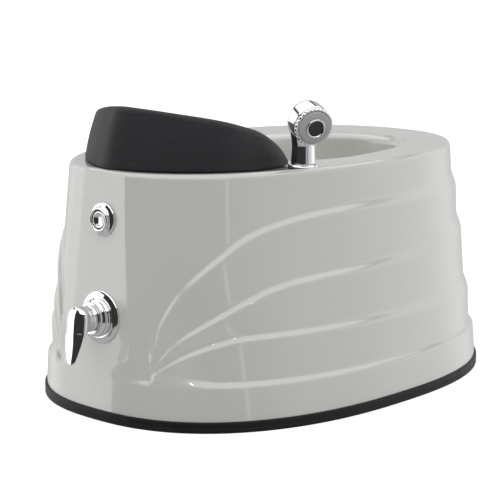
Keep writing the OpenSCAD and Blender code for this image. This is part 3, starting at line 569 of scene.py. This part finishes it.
def ring_mesh(name, rings, loop=False):
    """A skin through rings of points in millimetres. A loop's last ring joins its first;
    otherwise fans close both ends."""
    rings = np.asarray(rings, float) / 1000.0
    count, around = rings.shape[:2]
    points = [tuple(p) for p in rings.reshape(-1, 3)]
    faces = []
    for i in range(count if loop else count - 1):
        a, b = i * around, ((i + 1) % count) * around
        for j in range(around):
            k = (j + 1) % around
            faces.append((a + j, b + j, b + k, a + k))
    if not loop:
        for ring, turn in ((0, 1), (count - 1, -1)):
            middle = len(points)
            points.append(tuple(rings[ring].mean(0)))
            for j in range(around):
                edge = (ring * around + j, ring * around + (j + 1) % around)
                faces.append((middle, *edge[::turn]))
    mesh = bpy.data.meshes.new(name)
    mesh.from_pydata(points, [], faces)
    return tidy_mesh(mesh)


def circle(s, r, z):
    return with_height(np.stack([r * np.cos(s), r * np.sin(s)], -1), z)


def turned(profile, place, around=96):
    """Rings of a turned piece: its profile of (radius, height) about the place's own Z."""
    return move_rings(np.array([circle(turns(around), r, z) for r, z in profile]), place)


def move_rings(rings, place):
    m = np.array(place)
    return rings @ m[:3, :3].T + m[:3, 3]


def on_wall(s, z):
    """A place on the bowl's wall, with its Z pointing into the bowl."""
    p = inset_oval(BOWL_OVAL, LIP_ROUND + (LIP_Z - LIP_ROUND - z) * math.tan(WALL_LEAN))
    x, y = oval(p, np.array(s))
    n = -oval_out(p, np.array(s))
    turn = Matrix.Rotation(math.atan2(n[1], n[0]), 4, "Z")
    return Matrix.Translation((x, y, z)) @ turn @ Matrix.Rotation(math.pi / 2 - WALL_LEAN, 4, "Y")


def drilled(mesh, drills):
    """The mesh with round holes cut through it: (place, radius, from, to) for each."""
    cutter = bmesh.new()
    for place, radius, low, high in drills:
        part = ring_mesh("drill", turned([(radius, low), (radius, high)], place, 72))
        cutter.from_mesh(part)
    cutter_mesh = bpy.data.meshes.new("drills")
    cutter.to_mesh(cutter_mesh)
    cutter.free()
    blank = bpy.data.objects.new("blank", mesh)
    tool = bpy.data.objects.new("drill_set", cutter_mesh)
    for item in (blank, tool):
        scene.collection.objects.link(item)
    cut = blank.modifiers.new("cut", "BOOLEAN")
    cut.operation, cut.solver, cut.object = "DIFFERENCE", "EXACT", tool
    ready = blank.evaluated_get(bpy.context.evaluated_depsgraph_get())
    result = bpy.data.meshes.new_from_object(ready)
    result.name = mesh.name
    for item in (blank, tool):
        bpy.data.objects.remove(item)
    return result


def deck_mesh():
    s = crowded(DECK_AROUND)
    mouth = oval(BOWL_OVAL, s)

    def deck_ring(share, down=0.0):
        q = tub_ring(s, RIM_Z, -RIM_ROUND)[:, :2] * (1 - share) + mouth * share
        return with_height(q, deck_z(*q.T) - down)

    def bowl_ring(d, z):
        return with_height(oval(inset_oval(BOWL_OVAL, d), s), z)

    def drain_ring(r, z):
        return with_height(np.stack([r * np.sin(s), DRAIN_Y - r * np.cos(s)], -1), z)

    rings = [tub_ring(s, SKIRT_TOP, 0)]
    for turn in np.radians(np.linspace(0, 90, 10)):
        z = RIM_Z - RIM_ROUND * (1 - math.sin(turn))
        rings.append(tub_ring(s, z, -RIM_ROUND * (1 - math.cos(turn))))
    rings += [deck_ring(share) for share in np.linspace(0, 1, 16)[1:]]
    for turn in np.radians(np.linspace(0, 90, 9)[1:]):
        rings.append(bowl_ring(LIP_ROUND * math.sin(turn),
                               LIP_Z - LIP_ROUND * (1 - math.cos(turn))))
    wall_foot = BOWL_FLOOR + FLOOR_ROUND
    for share in np.linspace(0, 1, 9)[1:]:
        rings.append(bowl_ring(LIP_ROUND + WALL_IN * share,
                               LIP_Z - LIP_ROUND + (wall_foot - LIP_Z + LIP_ROUND) * share))
    for turn in np.radians(np.linspace(0, 90, 10)[1:]):
        rings.append(bowl_ring(LIP_ROUND + WALL_IN + FLOOR_ROUND * (1 - math.cos(turn)),
                               wall_foot - FLOOR_ROUND * math.sin(turn)))
    floor_edge, sink = rings[-1], drain_ring(DRAIN_HOLE, BOWL_FLOOR - 2)
    rings += [floor_edge * (1 - g) + sink * g for g in np.linspace(0, 1, 8)[1:]]
    rings.append(drain_ring(DRAIN_HOLE, BOWL_FLOOR - 2 - WALL))
    for turn in np.radians((90, 60, 30, 0)):
        rings.append(bowl_ring(LIP_ROUND + WALL_IN + FLOOR_ROUND
                               - (FLOOR_ROUND + WALL) * math.cos(turn),
                               wall_foot - (FLOOR_ROUND + WALL) * math.sin(turn)))
    rings += [bowl_ring(LIP_ROUND - WALL, LIP_Z - LIP_ROUND), bowl_ring(-3, LIP_Z - WALL)]
    rings += [deck_ring(share, WALL) for share in (0.65, 0.3)]
    rings += [tub_ring(s, RIM_Z - WALL - 3, -WALL - 3), tub_ring(s, SKIRT_TOP, -WALL - 1)]
    shower_place = Matrix.Translation((SHOWER_X, SHOWER_Y, float(deck_z(SHOWER_X, SHOWER_Y))))
    drills = [(shower_place, 18.0, -20, 20), (shower_place, 22.8, -SPOT_DOWN, 20),
              (on_wall(0.0, SUCTION_Z), 24.5, -30, 30)]
    drills += [(Matrix.Translation((x, PIN_Y, RIM_Z)), 8.0, -25, 15) for x in (-PIN_X, PIN_X)]
    drills += [(on_wall(side * math.radians(JET_ANGLE), JET_Z), 19.5, -25, 25)
               for side in (-1, 1)]
    return drilled(ring_mesh("deck_and_bowl", rings, loop=True), drills)


put_piece("deck_and_bowl", deck_mesh(), "tub", GELCOAT, ["bowl_deck"])

# Base ----------------------------------------------------
# A sealed plywood board carries the skirt, screwed up into its flange. A black extruded
# rubber strip is wrapped round the foot and hides the joint.
TRIM_OUT = 3.0
TRIM_H = 16.0


def rubber_finish():
    look, net, place = new_finish("trim_rubber")
    grain = noise(net, place, 900.0, 3.0)
    dust = noise(net, place, 34.0, 4.0).smooth(0.5, 0.8)
    set_shader(net, base_color=between(net, dust, (0.012, 0.012, 0.0115), (0.028, 0.027, 0.026)),
               roughness=0.5 + 0.2 * dust, specular_ior_level=0.22,
               normal=bumped(net, grain, 0.0002, 0.5))
    return look


def plywood_finish():
    look, net, place = new_finish("plywood")
    lengthwise = net.add("ShaderNodeMapping", {"Vector": place, "Scale": (26.0, 2.2, 26.0)})
    figure = noise(net, lengthwise, 2.2, 5.0, 0.6)
    rays = net.add("ShaderNodeTexWave", {"Vector": lengthwise, "Scale": 0.9,
                                         "Distortion": 5.0, "Detail": 2.0}, out=1)
    grain = (0.6 * figure + 0.4 * rays).clamp()
    set_shader(net, base_color=between(net, grain, (0.33, 0.21, 0.11), (0.60, 0.43, 0.26)),
               roughness=0.55 + 0.2 * grain, normal=bumped(net, grain, 0.0004, 0.4))
    return look


def dimmed(colour, share):
    return tuple(share * c for c in colour)


def metal_finish(name, colour, rough, stretch=(1.0, 1.0, 1.0)):
    """Cast, drawn or plated metal, its grain drawn out along one axis."""
    look, net, place = new_finish(name)
    drawn = net.add("ShaderNodeMapping", {"Vector": place, "Scale": stretch})
    grain = noise(net, drawn, 60.0, 5.0, 0.7)
    set_shader(net, base_color=between(net, grain, dimmed(colour, 0.72), colour), metallic=1.0,
               roughness=(rough + 0.25 * (grain - 0.5)).clamp(),
               normal=bumped(net, grain, 0.0002, 0.3))
    return look


def dress(finish, *nodes):
    """Gives CAD nodes their finish."""
    for name in nodes:
        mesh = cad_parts[name].data
        if mesh.materials:
            for place in range(len(mesh.materials)):
                mesh.materials[place] = finish
        else:
            mesh.materials.append(finish)


def trim_mesh():
    s = crowded(SKIRT_AROUND)
    profile = [(0.0, 0.2), (TRIM_OUT - 0.8, 0.0), (TRIM_OUT - 0.2, 0.3), (TRIM_OUT, 1.0),
               (TRIM_OUT, 6.0), (TRIM_OUT - 0.5, 6.6), (TRIM_OUT - 0.5, 7.4), (TRIM_OUT, 8.0),
               (TRIM_OUT, TRIM_H - 3.0), (TRIM_OUT - 0.3, TRIM_H - 1.3),
               (TRIM_OUT - 1.1, TRIM_H - 0.3), (TRIM_OUT - 2.2, TRIM_H), (0.0, TRIM_H)]
    return ring_mesh("base_trim", [tub_ring(s, SKIRT_FOOT, out, up) for out, up in profile],
                     loop=True)


RUBBER = rubber_finish()
STEEL = metal_finish("steel", (0.56, 0.57, 0.58), 0.34, (1.0, 1.0, 14.0))
put_piece("base_trim_strip", trim_mesh(), "tub", RUBBER, ["base_trim"])
dress(plywood_finish(), "base_board")
dress(STEEL, "base_screws")

# Footrest ------------------------------------------------
# The footrest is polyurethane foam moulded over a board, with a fine leather grain in its
# skin. It stands on the deck and drops on two steel pins into rubber grommets.
PAD_HALF = ((0, -339), (42, -323.5), (84, -299), (120, -271), (147, -244), (159, -213),
            (158, -160), (140, -108), (110, -95), (0, -92))
PAD_HEART = (0.0, -205.0)
PAD_CREST = ((-350, 451), (-322, 452), (-240, 432), (-165, 410), (-104, 378), (-90, 372))
PAD_LEAN = math.radians(16.0)
PAD_GAP = 1.2
PAD_EDGE = 13.0
PAD_BULGE = 1.6
PAD_FOOT = 2.5
PAD_CROWN = 3.0
RECESS_IN = 22.0
BOARD_T = 5.0


def skin_finish():
    """Moulded polyurethane skin: matte, with a fine leather grain."""
    look, net, place = new_finish("footrest_skin")
    warp = noise(net, place, 120.0, 2.0)
    offset = net.add("ShaderNodeVectorMath", {0: warp.beside(1), "Scale": 0.003},
                     operation="SCALE")
    moved = net.add("ShaderNodeVectorMath", {0: place, 1: offset}, operation="ADD")
    cells, fine = (net.add("ShaderNodeTexVoronoi", {"Vector": moved, "Scale": scale},
                           feature="DISTANCE_TO_EDGE") for scale in (480.0, 1300.0))
    pebble = cells.smooth(0.0, 0.22) * 0.75 + fine.smooth(0.0, 0.3) * 0.25
    cloud = noise(net, place, 14.0, 4.0)
    tone = (pebble * 0.45 + cloud * 0.55).clamp()
    set_shader(net, base_color=between(net, tone, (0.0125, 0.0125, 0.0155), (0.022, 0.022, 0.027)),
               roughness=(0.60 - 0.16 * pebble + 0.1 * cloud).clamp(), specular_ior_level=0.34,
               normal=bumped(net, pebble, 0.0006, 0.5))
    return look


def plastic_finish(name, colour, rough, texture=700.0, gloss=0.0):
    look, net, place = new_finish(name)
    grain = noise(net, place, texture, 2.0)
    cloud = noise(net, place, 25.0, 3.0)
    set_shader(net, base_color=between(net, cloud, dimmed(colour, 0.88), colour),
               roughness=rough + 0.12 * cloud, coat_weight=gloss, coat_roughness=0.05,
               normal=bumped(net, grain, 0.00015, 0.4))
    return look


def curve_through(points, steps):
    """A smooth curve from the second point to the last but one, with steps to each gap."""
    t = np.linspace(0, 1, steps, endpoint=False)[None, :, None]
    a, b, c, d = (points[i:len(points) - 3 + i, None] for i in range(4))
    curve = 0.5 * (2 * b + (c - a) * t + (2 * a - 5 * b + 4 * c - d) * t ** 2
                   + (3 * b - a - 3 * c + d) * t ** 3)
    return curve.reshape(-1, points.shape[1])


def pad_crest(y):
    """Height of the crown along the pad, with its bends eased."""
    ys, zs = np.array(PAD_CREST, float).T
    return np.mean([np.interp(y + ease, ys, zs) for ease in np.linspace(-16, 16, 9)], 0)


def pad_mesh():
    outline = np.array([*PAD_HALF, *[(-x, y) for x, y in PAD_HALF[-2:0:-1]]], float)
    plan = curve_through(np.concatenate([outline[-1:], outline, outline[:2]]), 14)
    heart = np.array(PAD_HEART)
    spokes = plan - heart
    reach = np.linalg.norm(spokes, axis=1, keepdims=True)

    def drawn_in(d):
        return heart + spokes * (1 - np.asarray(d).reshape(-1, 1) / reach)

    foot = deck_z(*plan.T) + PAD_GAP
    tall = pad_crest(plan[:, 1]) - foot
    under = drawn_in(np.full(len(plan), RECESS_IN))
    rings = [with_height(under, RIM_Z + 1 + BOARD_T),
             with_height(under, deck_z(*under.T) + PAD_GAP)]
    for turn in np.radians((-90, -60, -30, 0)):
        p = drawn_in(np.full(len(plan), PAD_FOOT * (1 - math.cos(turn))))
        rings.append(with_height(p, deck_z(*p.T) + PAD_GAP + PAD_FOOT * (1 + math.sin(turn))))
    shoulder = np.minimum(PAD_EDGE, 0.75 * tall)
    wall = tall - shoulder - PAD_FOOT
    for share in np.linspace(0, 1, 16)[1:]:
        rise = PAD_FOOT + wall * share
        p = drawn_in(rise * math.tan(PAD_LEAN) - PAD_BULGE * math.sin(math.pi * share))
        rings.append(with_height(p, foot + rise))
    for turn in np.radians(np.linspace(0, 90, 11)[1:]):
        down = shoulder * (1 - math.sin(turn))
        d = (tall - down) * math.tan(PAD_LEAN) + shoulder * (1 - math.cos(turn)) * 0.9
        p = drawn_in(d)
        share = math.sin(turn) ** 2
        z = (foot + tall) * (1 - share) + pad_crest(p[:, 1]) * share - down
        rings.append(with_height(p, z))
    edge = np.linalg.norm(rings[-1][:, :2] - heart, axis=1, keepdims=True) / reach
    for share in np.linspace(1, 0, 15)[1:-1]:
        p = heart + spokes * edge * share
        rings.append(with_height(p, pad_crest(p[:, 1]) + PAD_CROWN * (1 - share ** 2)))
    return ring_mesh("footrest_cushion", rings)


SKIN = skin_finish()
BLACK_BOARD = plastic_finish("board_plastic", (0.02, 0.02, 0.02), 0.5, 500.0)
cushion = put_piece("footrest_cushion", pad_mesh(), "footrest", SKIN,
                    ["footrest_pad"], crease=60.0)
dress(BLACK_BOARD, "footrest_board")
dress(STEEL, "footrest_pins")
dress(RUBBER, "pin_grommets")

# Mixer ---------------------------------------------------
# A single-lever mixer in polished chrome over cast brass. Its wall plate and stepped
# bonnet clamp to the nose panel, and the spoon-shaped lever tilts on the hub.
MIXER_Z = 149.0
BUTTON_Z = 290.0
PLATE_R = 38.5
CHROME_TINT = (0.74, 0.75, 0.76)
BARREL_R = 20.0
PANEL_LEAN = math.atan((panel_edge(BUTTON_Z)[1] - panel_edge(MIXER_Z)[1]) / (BUTTON_Z - MIXER_Z))


def chrome_finish():
    look, net, place = new_finish("chrome")
    smear = noise(net, place, 55.0, 4.0, 0.6)
    water = noise(net, place, 260.0, 3.0, 0.7).smooth(0.66, 0.82)
    set_shader(net, base_color=between(net, water, CHROME_TINT, dimmed(CHROME_TINT, 0.9)),
               roughness=0.03 + 0.04 * smear + 0.08 * water, metallic=1.0)
    return look


CHROME = chrome_finish()


def on_panel(z, out=0.0):
    """A place on the nose panel: Z points straight out of it and Y up it."""
    lean = Matrix.Rotation(math.pi / 2 - PANEL_LEAN, 4, "X")
    return Matrix.Translation((0, panel_edge(z)[1], z)) @ lean @ Matrix.Translation((0, 0, out))


def eased(profile, size, loop=False, steps=4):
    """A profile with its corners rounded."""
    count = len(profile)
    points = [np.array(p, float) for p in profile]
    out = []
    for i, p in enumerate(points):
        if not loop and i in (0, count - 1):
            out.append(tuple(p))
            continue
        a, b = points[i - 1] - p, points[(i + 1) % count] - p
        la, lb = np.linalg.norm(a), np.linalg.norm(b)
        cut = min(size, 0.45 * la, 0.45 * lb)
        start, end = p + a / la * cut, p + b / lb * cut
        for t in np.linspace(0, 1, steps + 1):
            out.append(tuple((1 - t) ** 2 * start + 2 * t * (1 - t) * p + t ** 2 * end))
    return out


def lever_mesh():
    """The lever, lofted along its length from the back of the head to the tip."""
    stations = np.array([[19.5, 0.0, 48.0], [18.6, 7.0, 49.6], [16.0, 12.6, 51.4],
                         [11.0, 17.0, 53.2], [4.0, 19.1, 54.6], [-4.0, 19.4, 55.4],
                         [-14.0, 19.3, 55.7], [-24.0, 18.3, 55.7], [-34.0, 16.4, 55.9],
                         [-44.0, 13.8, 56.6], [-52.0, 11.4, 57.4], [-58.5, 9.0, 57.9],
                         [-62.2, 5.4, 57.9], [-63.6, 0.0, 57.4]])
    t = np.linspace(0, len(stations) - 1, 120)
    y, half, top = (np.interp(t, np.arange(len(stations)), column) for column in stations.T)
    for column in (half, top):
        kernel = np.ones(5) / 5
        column[2:-2] = np.convolve(column, kernel, "valid")
    half[0] = half[-1] = 0.05
    bottom = np.interp(y, [-63, -40, -24, -17, -13], [55.2, 53.4, 50.0, 44.0, 33.6])
    bottom[1:-1] = np.convolve(bottom, np.ones(3) / 3, "valid")
    phi = turns(48)
    rings = []
    for yy, w, high, low in zip(y, half, top, bottom):
        boxy = 0.55 if high - low > 12 else 0.8
        x = w * signed_pow(np.cos(phi), boxy)
        z = (high + low) / 2 + (high - low) / 2 * signed_pow(np.sin(phi), boxy)
        z = z - 0.012 * x ** 2 * np.clip((z - low) / (high - low), 0, 1)
        rings.append(np.stack([x, np.full(48, yy), z], -1))
    return ring_mesh("mixer_lever_spoon", move_rings(np.array(rings), on_panel(MIXER_Z)))


def turned_piece(name, body, node, place, profile, size=0.8, loop=False, around=96,
                 finish=CHROME):
    """A piece turned from a profile of (radius, height), with its corners eased."""
    rings = turned(eased(profile, size, loop), place, around)
    return put_piece(name, ring_mesh(name, rings, loop), body, finish, [node])


BRASS = metal_finish("brass", (0.62, 0.45, 0.20), 0.38)
WHITE_PLASTIC = plastic_finish("white_plastic", (0.74, 0.74, 0.72), 0.35)
turned_piece("mixer_wall_plate", "tub", "mixer_plate", on_panel(MIXER_Z),
             [(BARREL_R + 0.5, 0.1), (PLATE_R, 0.1), (PLATE_R, 1.6), (PLATE_R - 0.8, 2.8),
              (PLATE_R - 4, 4.4), (30.5, 5.6), (30.0, 6.3), (BARREL_R + 0.5, 6.5)], 0.7, True)
turned_piece("mixer_bonnet", "tub", "bonnet_nut", on_panel(MIXER_Z),
             [(BARREL_R + 0.1, 6.7), (28, 6.7), (28, 10.0), (26.4, 11.6), (26.4, 15.4),
              (25.6, 16.0), (24.4, 17.4), (23, 18.4), (23, 21.5), (18, 21.5), (18, 14.5),
              (BARREL_R + 0.1, 13.5)], 0.7, True)
turned_piece("mixer_hub", "temperature_hub", "lever_hub", on_panel(MIXER_Z),
             [(0, 21.8), (19, 21.8), (19, 24.6), (18.2, 25.6), (17.4, 28), (17.0, 33),
              (14.5, 37), (0, 38)], 0.9)
put_piece("mixer_lever_spoon", lever_mesh(), "lever", CHROME, ["mixer_lever"],
          crease=60.0)
dress(STEEL, "lever_screw")
dress(BRASS, "mixer_body", "mixer_locknut", "hot_inlet", "cold_inlet", "hose_outlet")
dress(WHITE_PLASTIC, "mixer_cartridge")

# Air button ----------------------------------------------
# Pressing the chrome cap squeezes a rubber bellows, and the puff of air works a switch at
# the end of a thin tube, so no wiring comes near the water.
CAP_R = 12.3
GREY_PLASTIC = plastic_finish("grey_plastic", (0.40, 0.41, 0.39), 0.40)
turned_piece("air_button_bezel", "tub", "button_housing", on_panel(BUTTON_Z),
             [(13.5, -34), (16, -34), (16, 0.3), (24.5, 0.3), (24.5, 1.8), (23.6, 3.4),
              (19.4, 4.3), (18, 5.2), (18, 9.4), (17.4, 10.8), (16.2, 11.6), (14.4, 11.2),
              (13.8, 9.6), (13.5, 5.0)], 0.6, True)
turned_piece("air_button_cap", "air_button", "button_cap", on_panel(BUTTON_Z),
             [(0, 5.5), (CAP_R, 5.5), (CAP_R, 8.6), (11.6, 9.9), (10.0, 9.9), (7.4, 8.4),
              (4.0, 7.3), (0, 6.9)], around=72)
folds = [(9 + 3 * (i % 2), -33 + 4 * i) for i in range(8)]
bellows = turned_piece("air_button_bellows", "tub", "button_bellows", on_panel(BUTTON_Z),
                       [(0, -33.5), (8, -33.5), *folds, (9, 1.6), (0, 1.6)], 1.2, around=48,
                       finish=RUBBER)
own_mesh(bellows)
dress(GREY_PLASTIC, "button_locknut", "air_tube", "air_switch")

# Hand shower ---------------------------------------------
# The shower stands in a collar on the deck. Its stem and head are chrome on plastic, and
# a notched ring round the nozzle face turns to change the spray.
HEAD_Z = 431.7
HEAD_AIM = Vector((0.853, -0.4405, -0.279)).normalized()
HEAD_R = 29.0
NOTCHES = 28
NOTCH_DEEP = 1.3
DECK_AT = float(deck_z(SHOWER_X, SHOWER_Y))
STEM_Z = DECK_AT + 5.9
NOZZLE_ROWS = (17.2, 19.6, 22.0)
NOZZLES = 30


def at_shower(z):
    return Matrix.Translation((SHOWER_X, SHOWER_Y, z))


def at_head():
    turn = math.atan2(HEAD_AIM.y, HEAD_AIM.x)
    tip = math.acos(HEAD_AIM.z)
    return at_shower(HEAD_Z) @ Matrix.Rotation(turn, 4, "Z") @ Matrix.Rotation(tip, 4, "Y")


def neck_rings():
    """The stem's top, swelling into a saddle that hugs the back of the head."""
    s = turns(72)
    flat_aim = Vector((HEAD_AIM.x, HEAD_AIM.y)).normalized()
    rings = []
    for t in np.linspace(0, 1, 22):
        swell = t * t * (3 - 2 * t)
        across, lengthwise = 16.9 + 8.6 * swell, 16.9 + 4.5 * swell
        q, r = lengthwise * np.cos(s) + 10.5 * swell, across * np.sin(s)
        x = q * flat_aim.x - r * flat_aim.y
        y = q * flat_aim.y + r * flat_aim.x
        rings.append(with_height(np.stack([SHOWER_X + x, SHOWER_Y + y], -1),
                                 HEAD_Z - 43 + 38 * t))
    return rings


def ring_with_notches():
    """The selector ring: its profile, with finger notches cut into the front edge."""
    s = turns(NOTCHES * 12)
    notch = np.clip(np.cos(s * NOTCHES) * 1.6 - 0.1, 0, 1)
    profile = [(24.5, 36.1, 0), (27.6, 36.1, 0), (28.4, 36.8, 0), (28.5, 37.6, 0.1),
               (28.5, 38.4, 1), (28.4, 40.4, 1), (27.9, 41.3, 0.8), (27.0, 41.8, 0.3),
               (25.0, 41.9, 0), (24.5, 41.4, 0)]
    rings = [circle(s, r - NOTCH_DEEP * deep * notch, z) for r, z, deep in profile]
    return move_rings(np.array(rings), at_head())


def nozzle_tree():
    """Rows of small rubber nozzles round the face, each pointing out of it."""
    net, given = open_group("nozzle_rows", {"Nozzle radius": 0.00055, "Nozzle height": 0.0012})
    joined = net.add("GeometryNodeJoinGeometry")
    cone = net.add("GeometryNodeMeshCone", {"Vertices": 8, "Side Segments": 1,
                                            "Fill Segments": 1,
                                            "Radius Top": given["Nozzle radius"] * 0.6,
                                            "Radius Bottom": given["Nozzle radius"],
                                            "Depth": given["Nozzle height"]})
    for row, radius in enumerate(NOZZLE_ROWS):
        spots = net.add("GeometryNodeMeshCircle", {"Vertices": NOZZLES, "Radius": radius / 1000})
        lifted = net.add("GeometryNodeTransform", {
            "Geometry": spots, "Translation": (0, 0, face_height(radius) / 1000),
            "Rotation": (0, 0, 0.5 * row * 2 * math.pi / NOZZLES)})
        spread = net.add("GeometryNodeInstanceOnPoints", {"Points": lifted, "Instance": cone})
        net.plug(joined.socket.node.inputs[0], spread)
    return close_group(net, joined, given["Finish"])


def face_height(radius):
    """How far out of the head the nozzle face is, at a distance from its middle."""
    return float(np.interp(radius, (14.6, 19.0, 23.0, 24.0), (46.6, 45.8, 44.2, 42.8)))


turned_piece("shower_collar", "tub", "shower_holder", at_shower(DECK_AT),
             [(13.2, -42), (17.5, -42), (17.5, 1.6), (22.5, 1.6), (22.5, 2.8), (21.4, 4.4),
              (19.2, 5.3), (18.4, 5.6), (13.2, 5.6)], 0.6, True)
turned_piece("shower_handle", "hand_shower", "shower_stem", at_shower(0),
             [(0, STEM_Z - 32), (12.9, STEM_Z - 32), (12.9, STEM_Z), (17.6, STEM_Z),
              (17.8, STEM_Z + 1.5), (16.4, STEM_Z + 30), (16.4, STEM_Z + 42),
              (16.8, HEAD_Z - 14), (0, HEAD_Z - 14)], 0.6)
turned_piece("shower_head_shell", "hand_shower", "shower_head", at_head(),
             [(0, 5.0), (20, 5.2), (26.5, 6.6), (28.6, 8.8), (HEAD_R, 12), (HEAD_R, 33.2),
              (28.4, 34.9), (27.6, 35.5), (24.5, 35.5), (24.5, 31), (0, 31)], around=128)
put_piece("shower_neck", ring_mesh("neck", neck_rings()), "hand_shower", CHROME)
put_piece("spray_selector_ring", ring_mesh("selector", ring_with_notches(), True),
          "spray_selector", CHROME, ["spray_ring"])
FACE_PLASTIC = plastic_finish("nozzle_plastic", (0.50, 0.505, 0.485), 0.34)
face_front = [(r, face_height(r)) for r in (24.0, 23.0, 19.0, 14.6)]
face_profile = eased([(14.6, 30.4), (24.0, 30.4), *face_front], 0.5, True)
face_mesh = ring_mesh("face", turned(face_profile, at_head()), True)
nozzles = bake_tree("nozzles", nozzle_tree(), {"Finish": FACE_PLASTIC})
to_head = at_head()
to_head.translation /= 1000
nozzles.transform(to_head)
both = bmesh.new()
both.from_mesh(face_mesh)
both.from_mesh(nozzles)
both.to_mesh(face_mesh)
both.free()
put_piece("nozzle_face", face_mesh, "hand_shower", FACE_PLASTIC,
          ["nozzle_plate"])
turned_piece("outlet_inner_ring", "hand_shower", "outlet_ring", at_head(),
             [(11.3, 31), (14.5, 31), (14.5, 47.4), (13.6, 48.5), (12.2, 48.3), (11.3, 47.2)],
             0.5, True, 72)
BLACK_PLASTIC = plastic_finish("black_plastic", (0.012, 0.012, 0.012), 0.22, 500.0, 0.3)
turned_piece("outlet_centre", "hand_shower", "centre_outlet", at_head(),
             [(0, 31), (11.1, 31), (11.1, 46.4), (10.2, 47.2), (7, 46.6), (0, 46.2)], 0.5,
             around=72, finish=BLACK_PLASTIC)
dress(CHROME, "hose_nut")
dress(RUBBER, "shower_gasket")
dress(GREY_PLASTIC, "shower_locknut")

# Hose ----------------------------------------------------
# A ribbed metal hose, 12 mm across, hangs in a loop inside the tub from the mixer's
# outlet to the shower's nut. It rides on no body, so it stays where it is when the shower is
# pulled out.
HOSE_R = 6.0
HOSE_RIB = 3.4
RIB_DEEP = 0.35
HOSE_ROUTE = ((182, -124, STEM_Z - 46), (182, -124, 295), (182, -124, 250), (182, -124, 200),
              (182, -124, 150), (182, -124, 105), (182, -126, 76), (182, -138, 50),
              (182, -158, 34), (182, -182, 32), (182, -204, 46), (182, -217, 70),
              (178, -224, 98), (168, -236, 124), (148, -256, 142), (122, -284, 147),
              (100, -305, 147), (78, -316.6, 147), (56.3, -317, 146.7))


def hose_mesh():
    p = np.array(HOSE_ROUTE, float)
    padded = np.concatenate([[2 * p[0] - p[1]], p, [2 * p[-1] - p[-2]]])
    curve = np.concatenate([curve_through(padded, 24), p[-1:]])
    gone = np.concatenate([[0], np.cumsum(np.linalg.norm(np.diff(curve, axis=0), axis=1))])
    spots = np.linspace(0, gone[-1], int(gone[-1] / HOSE_RIB * 4))
    path = np.stack([np.interp(spots, gone, curve[:, i]) for i in range(3)], -1)
    ways = np.gradient(path, axis=0)
    ways /= np.linalg.norm(ways, axis=1, keepdims=True)
    side = np.array([1.0, 0.0, 0.0])
    s = turns(14)
    rings = []
    for spot, place, way in zip(spots, path, ways):
        side = side - way * side.dot(way)
        side /= np.linalg.norm(side)
        radius = HOSE_R - RIB_DEEP * (1 + math.cos(2 * math.pi * spot / HOSE_RIB)) / 2
        rings.append(place + radius * (np.outer(np.cos(s), side)
                                       + np.outer(np.sin(s), np.cross(way, side))))
    return ring_mesh("shower_hose_ribbed", rings)


hose = put_piece("shower_hose_ribbed", hose_mesh(), None, STEEL, ["shower_hose"],
                 crease=70.0)
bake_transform(hose)

# Drain ---------------------------------------------------
# A chrome flange and a lift-out stopper in the bowl's floor, clamped from below by a
# plastic nut, with a 40 mm tail that goes down through the base board.
drain_place = Matrix.Translation((0, DRAIN_Y, BOWL_FLOOR - 2.0))
turned_piece("drain_rim", "tub", "drain_flange", drain_place,
             [(21.5, -26), (25.5, -26), (25.5, 0.9), (33, 0.9), (32.6, 1.8), (30.8, 3.0),
              (24.5, 3.1), (21.5, 1.6)], 0.6, True)
turned_piece("drain_lift_stopper", "stopper", "drain_stopper", drain_place,
             [(0, -20), (12, -20), (12, -18), (4, -18), (4, 3.4), (27, 3.4), (26.6, 4.8),
              (22.0, 6.4), (12.0, 6.8), (11, 6.2), (0, 6.0)], 0.6)
dress(RUBBER, "drain_gasket")
dress(GREY_PLASTIC, "drain_locknut")
dress(WHITE_PLASTIC, "drain_body", "drain_tail")

# Water jets and pump -------------------------------------
# A small pump draws water through a grille in the bowl's wall and drives it out of two
# chrome nozzles that turn in their bodies. It stands on a steel bracket on the base board.
dress(WHITE_PLASTIC, "suction_fitting", "suction_cover", "suction_pipe", "pump_impeller",
      "pressure_pipe", "jet_body_left", "jet_body_right")
dress(CHROME, "jet_nozzle_left", "jet_nozzle_right")
dress(plastic_finish("motor_paint", (0.05, 0.055, 0.06), 0.42, 350.0), "pump_motor")
dress(BLACK_PLASTIC, "pump_housing", "cable_gland")
dress(STEEL, "pump_shaft", "pump_bracket", "pump_screws")
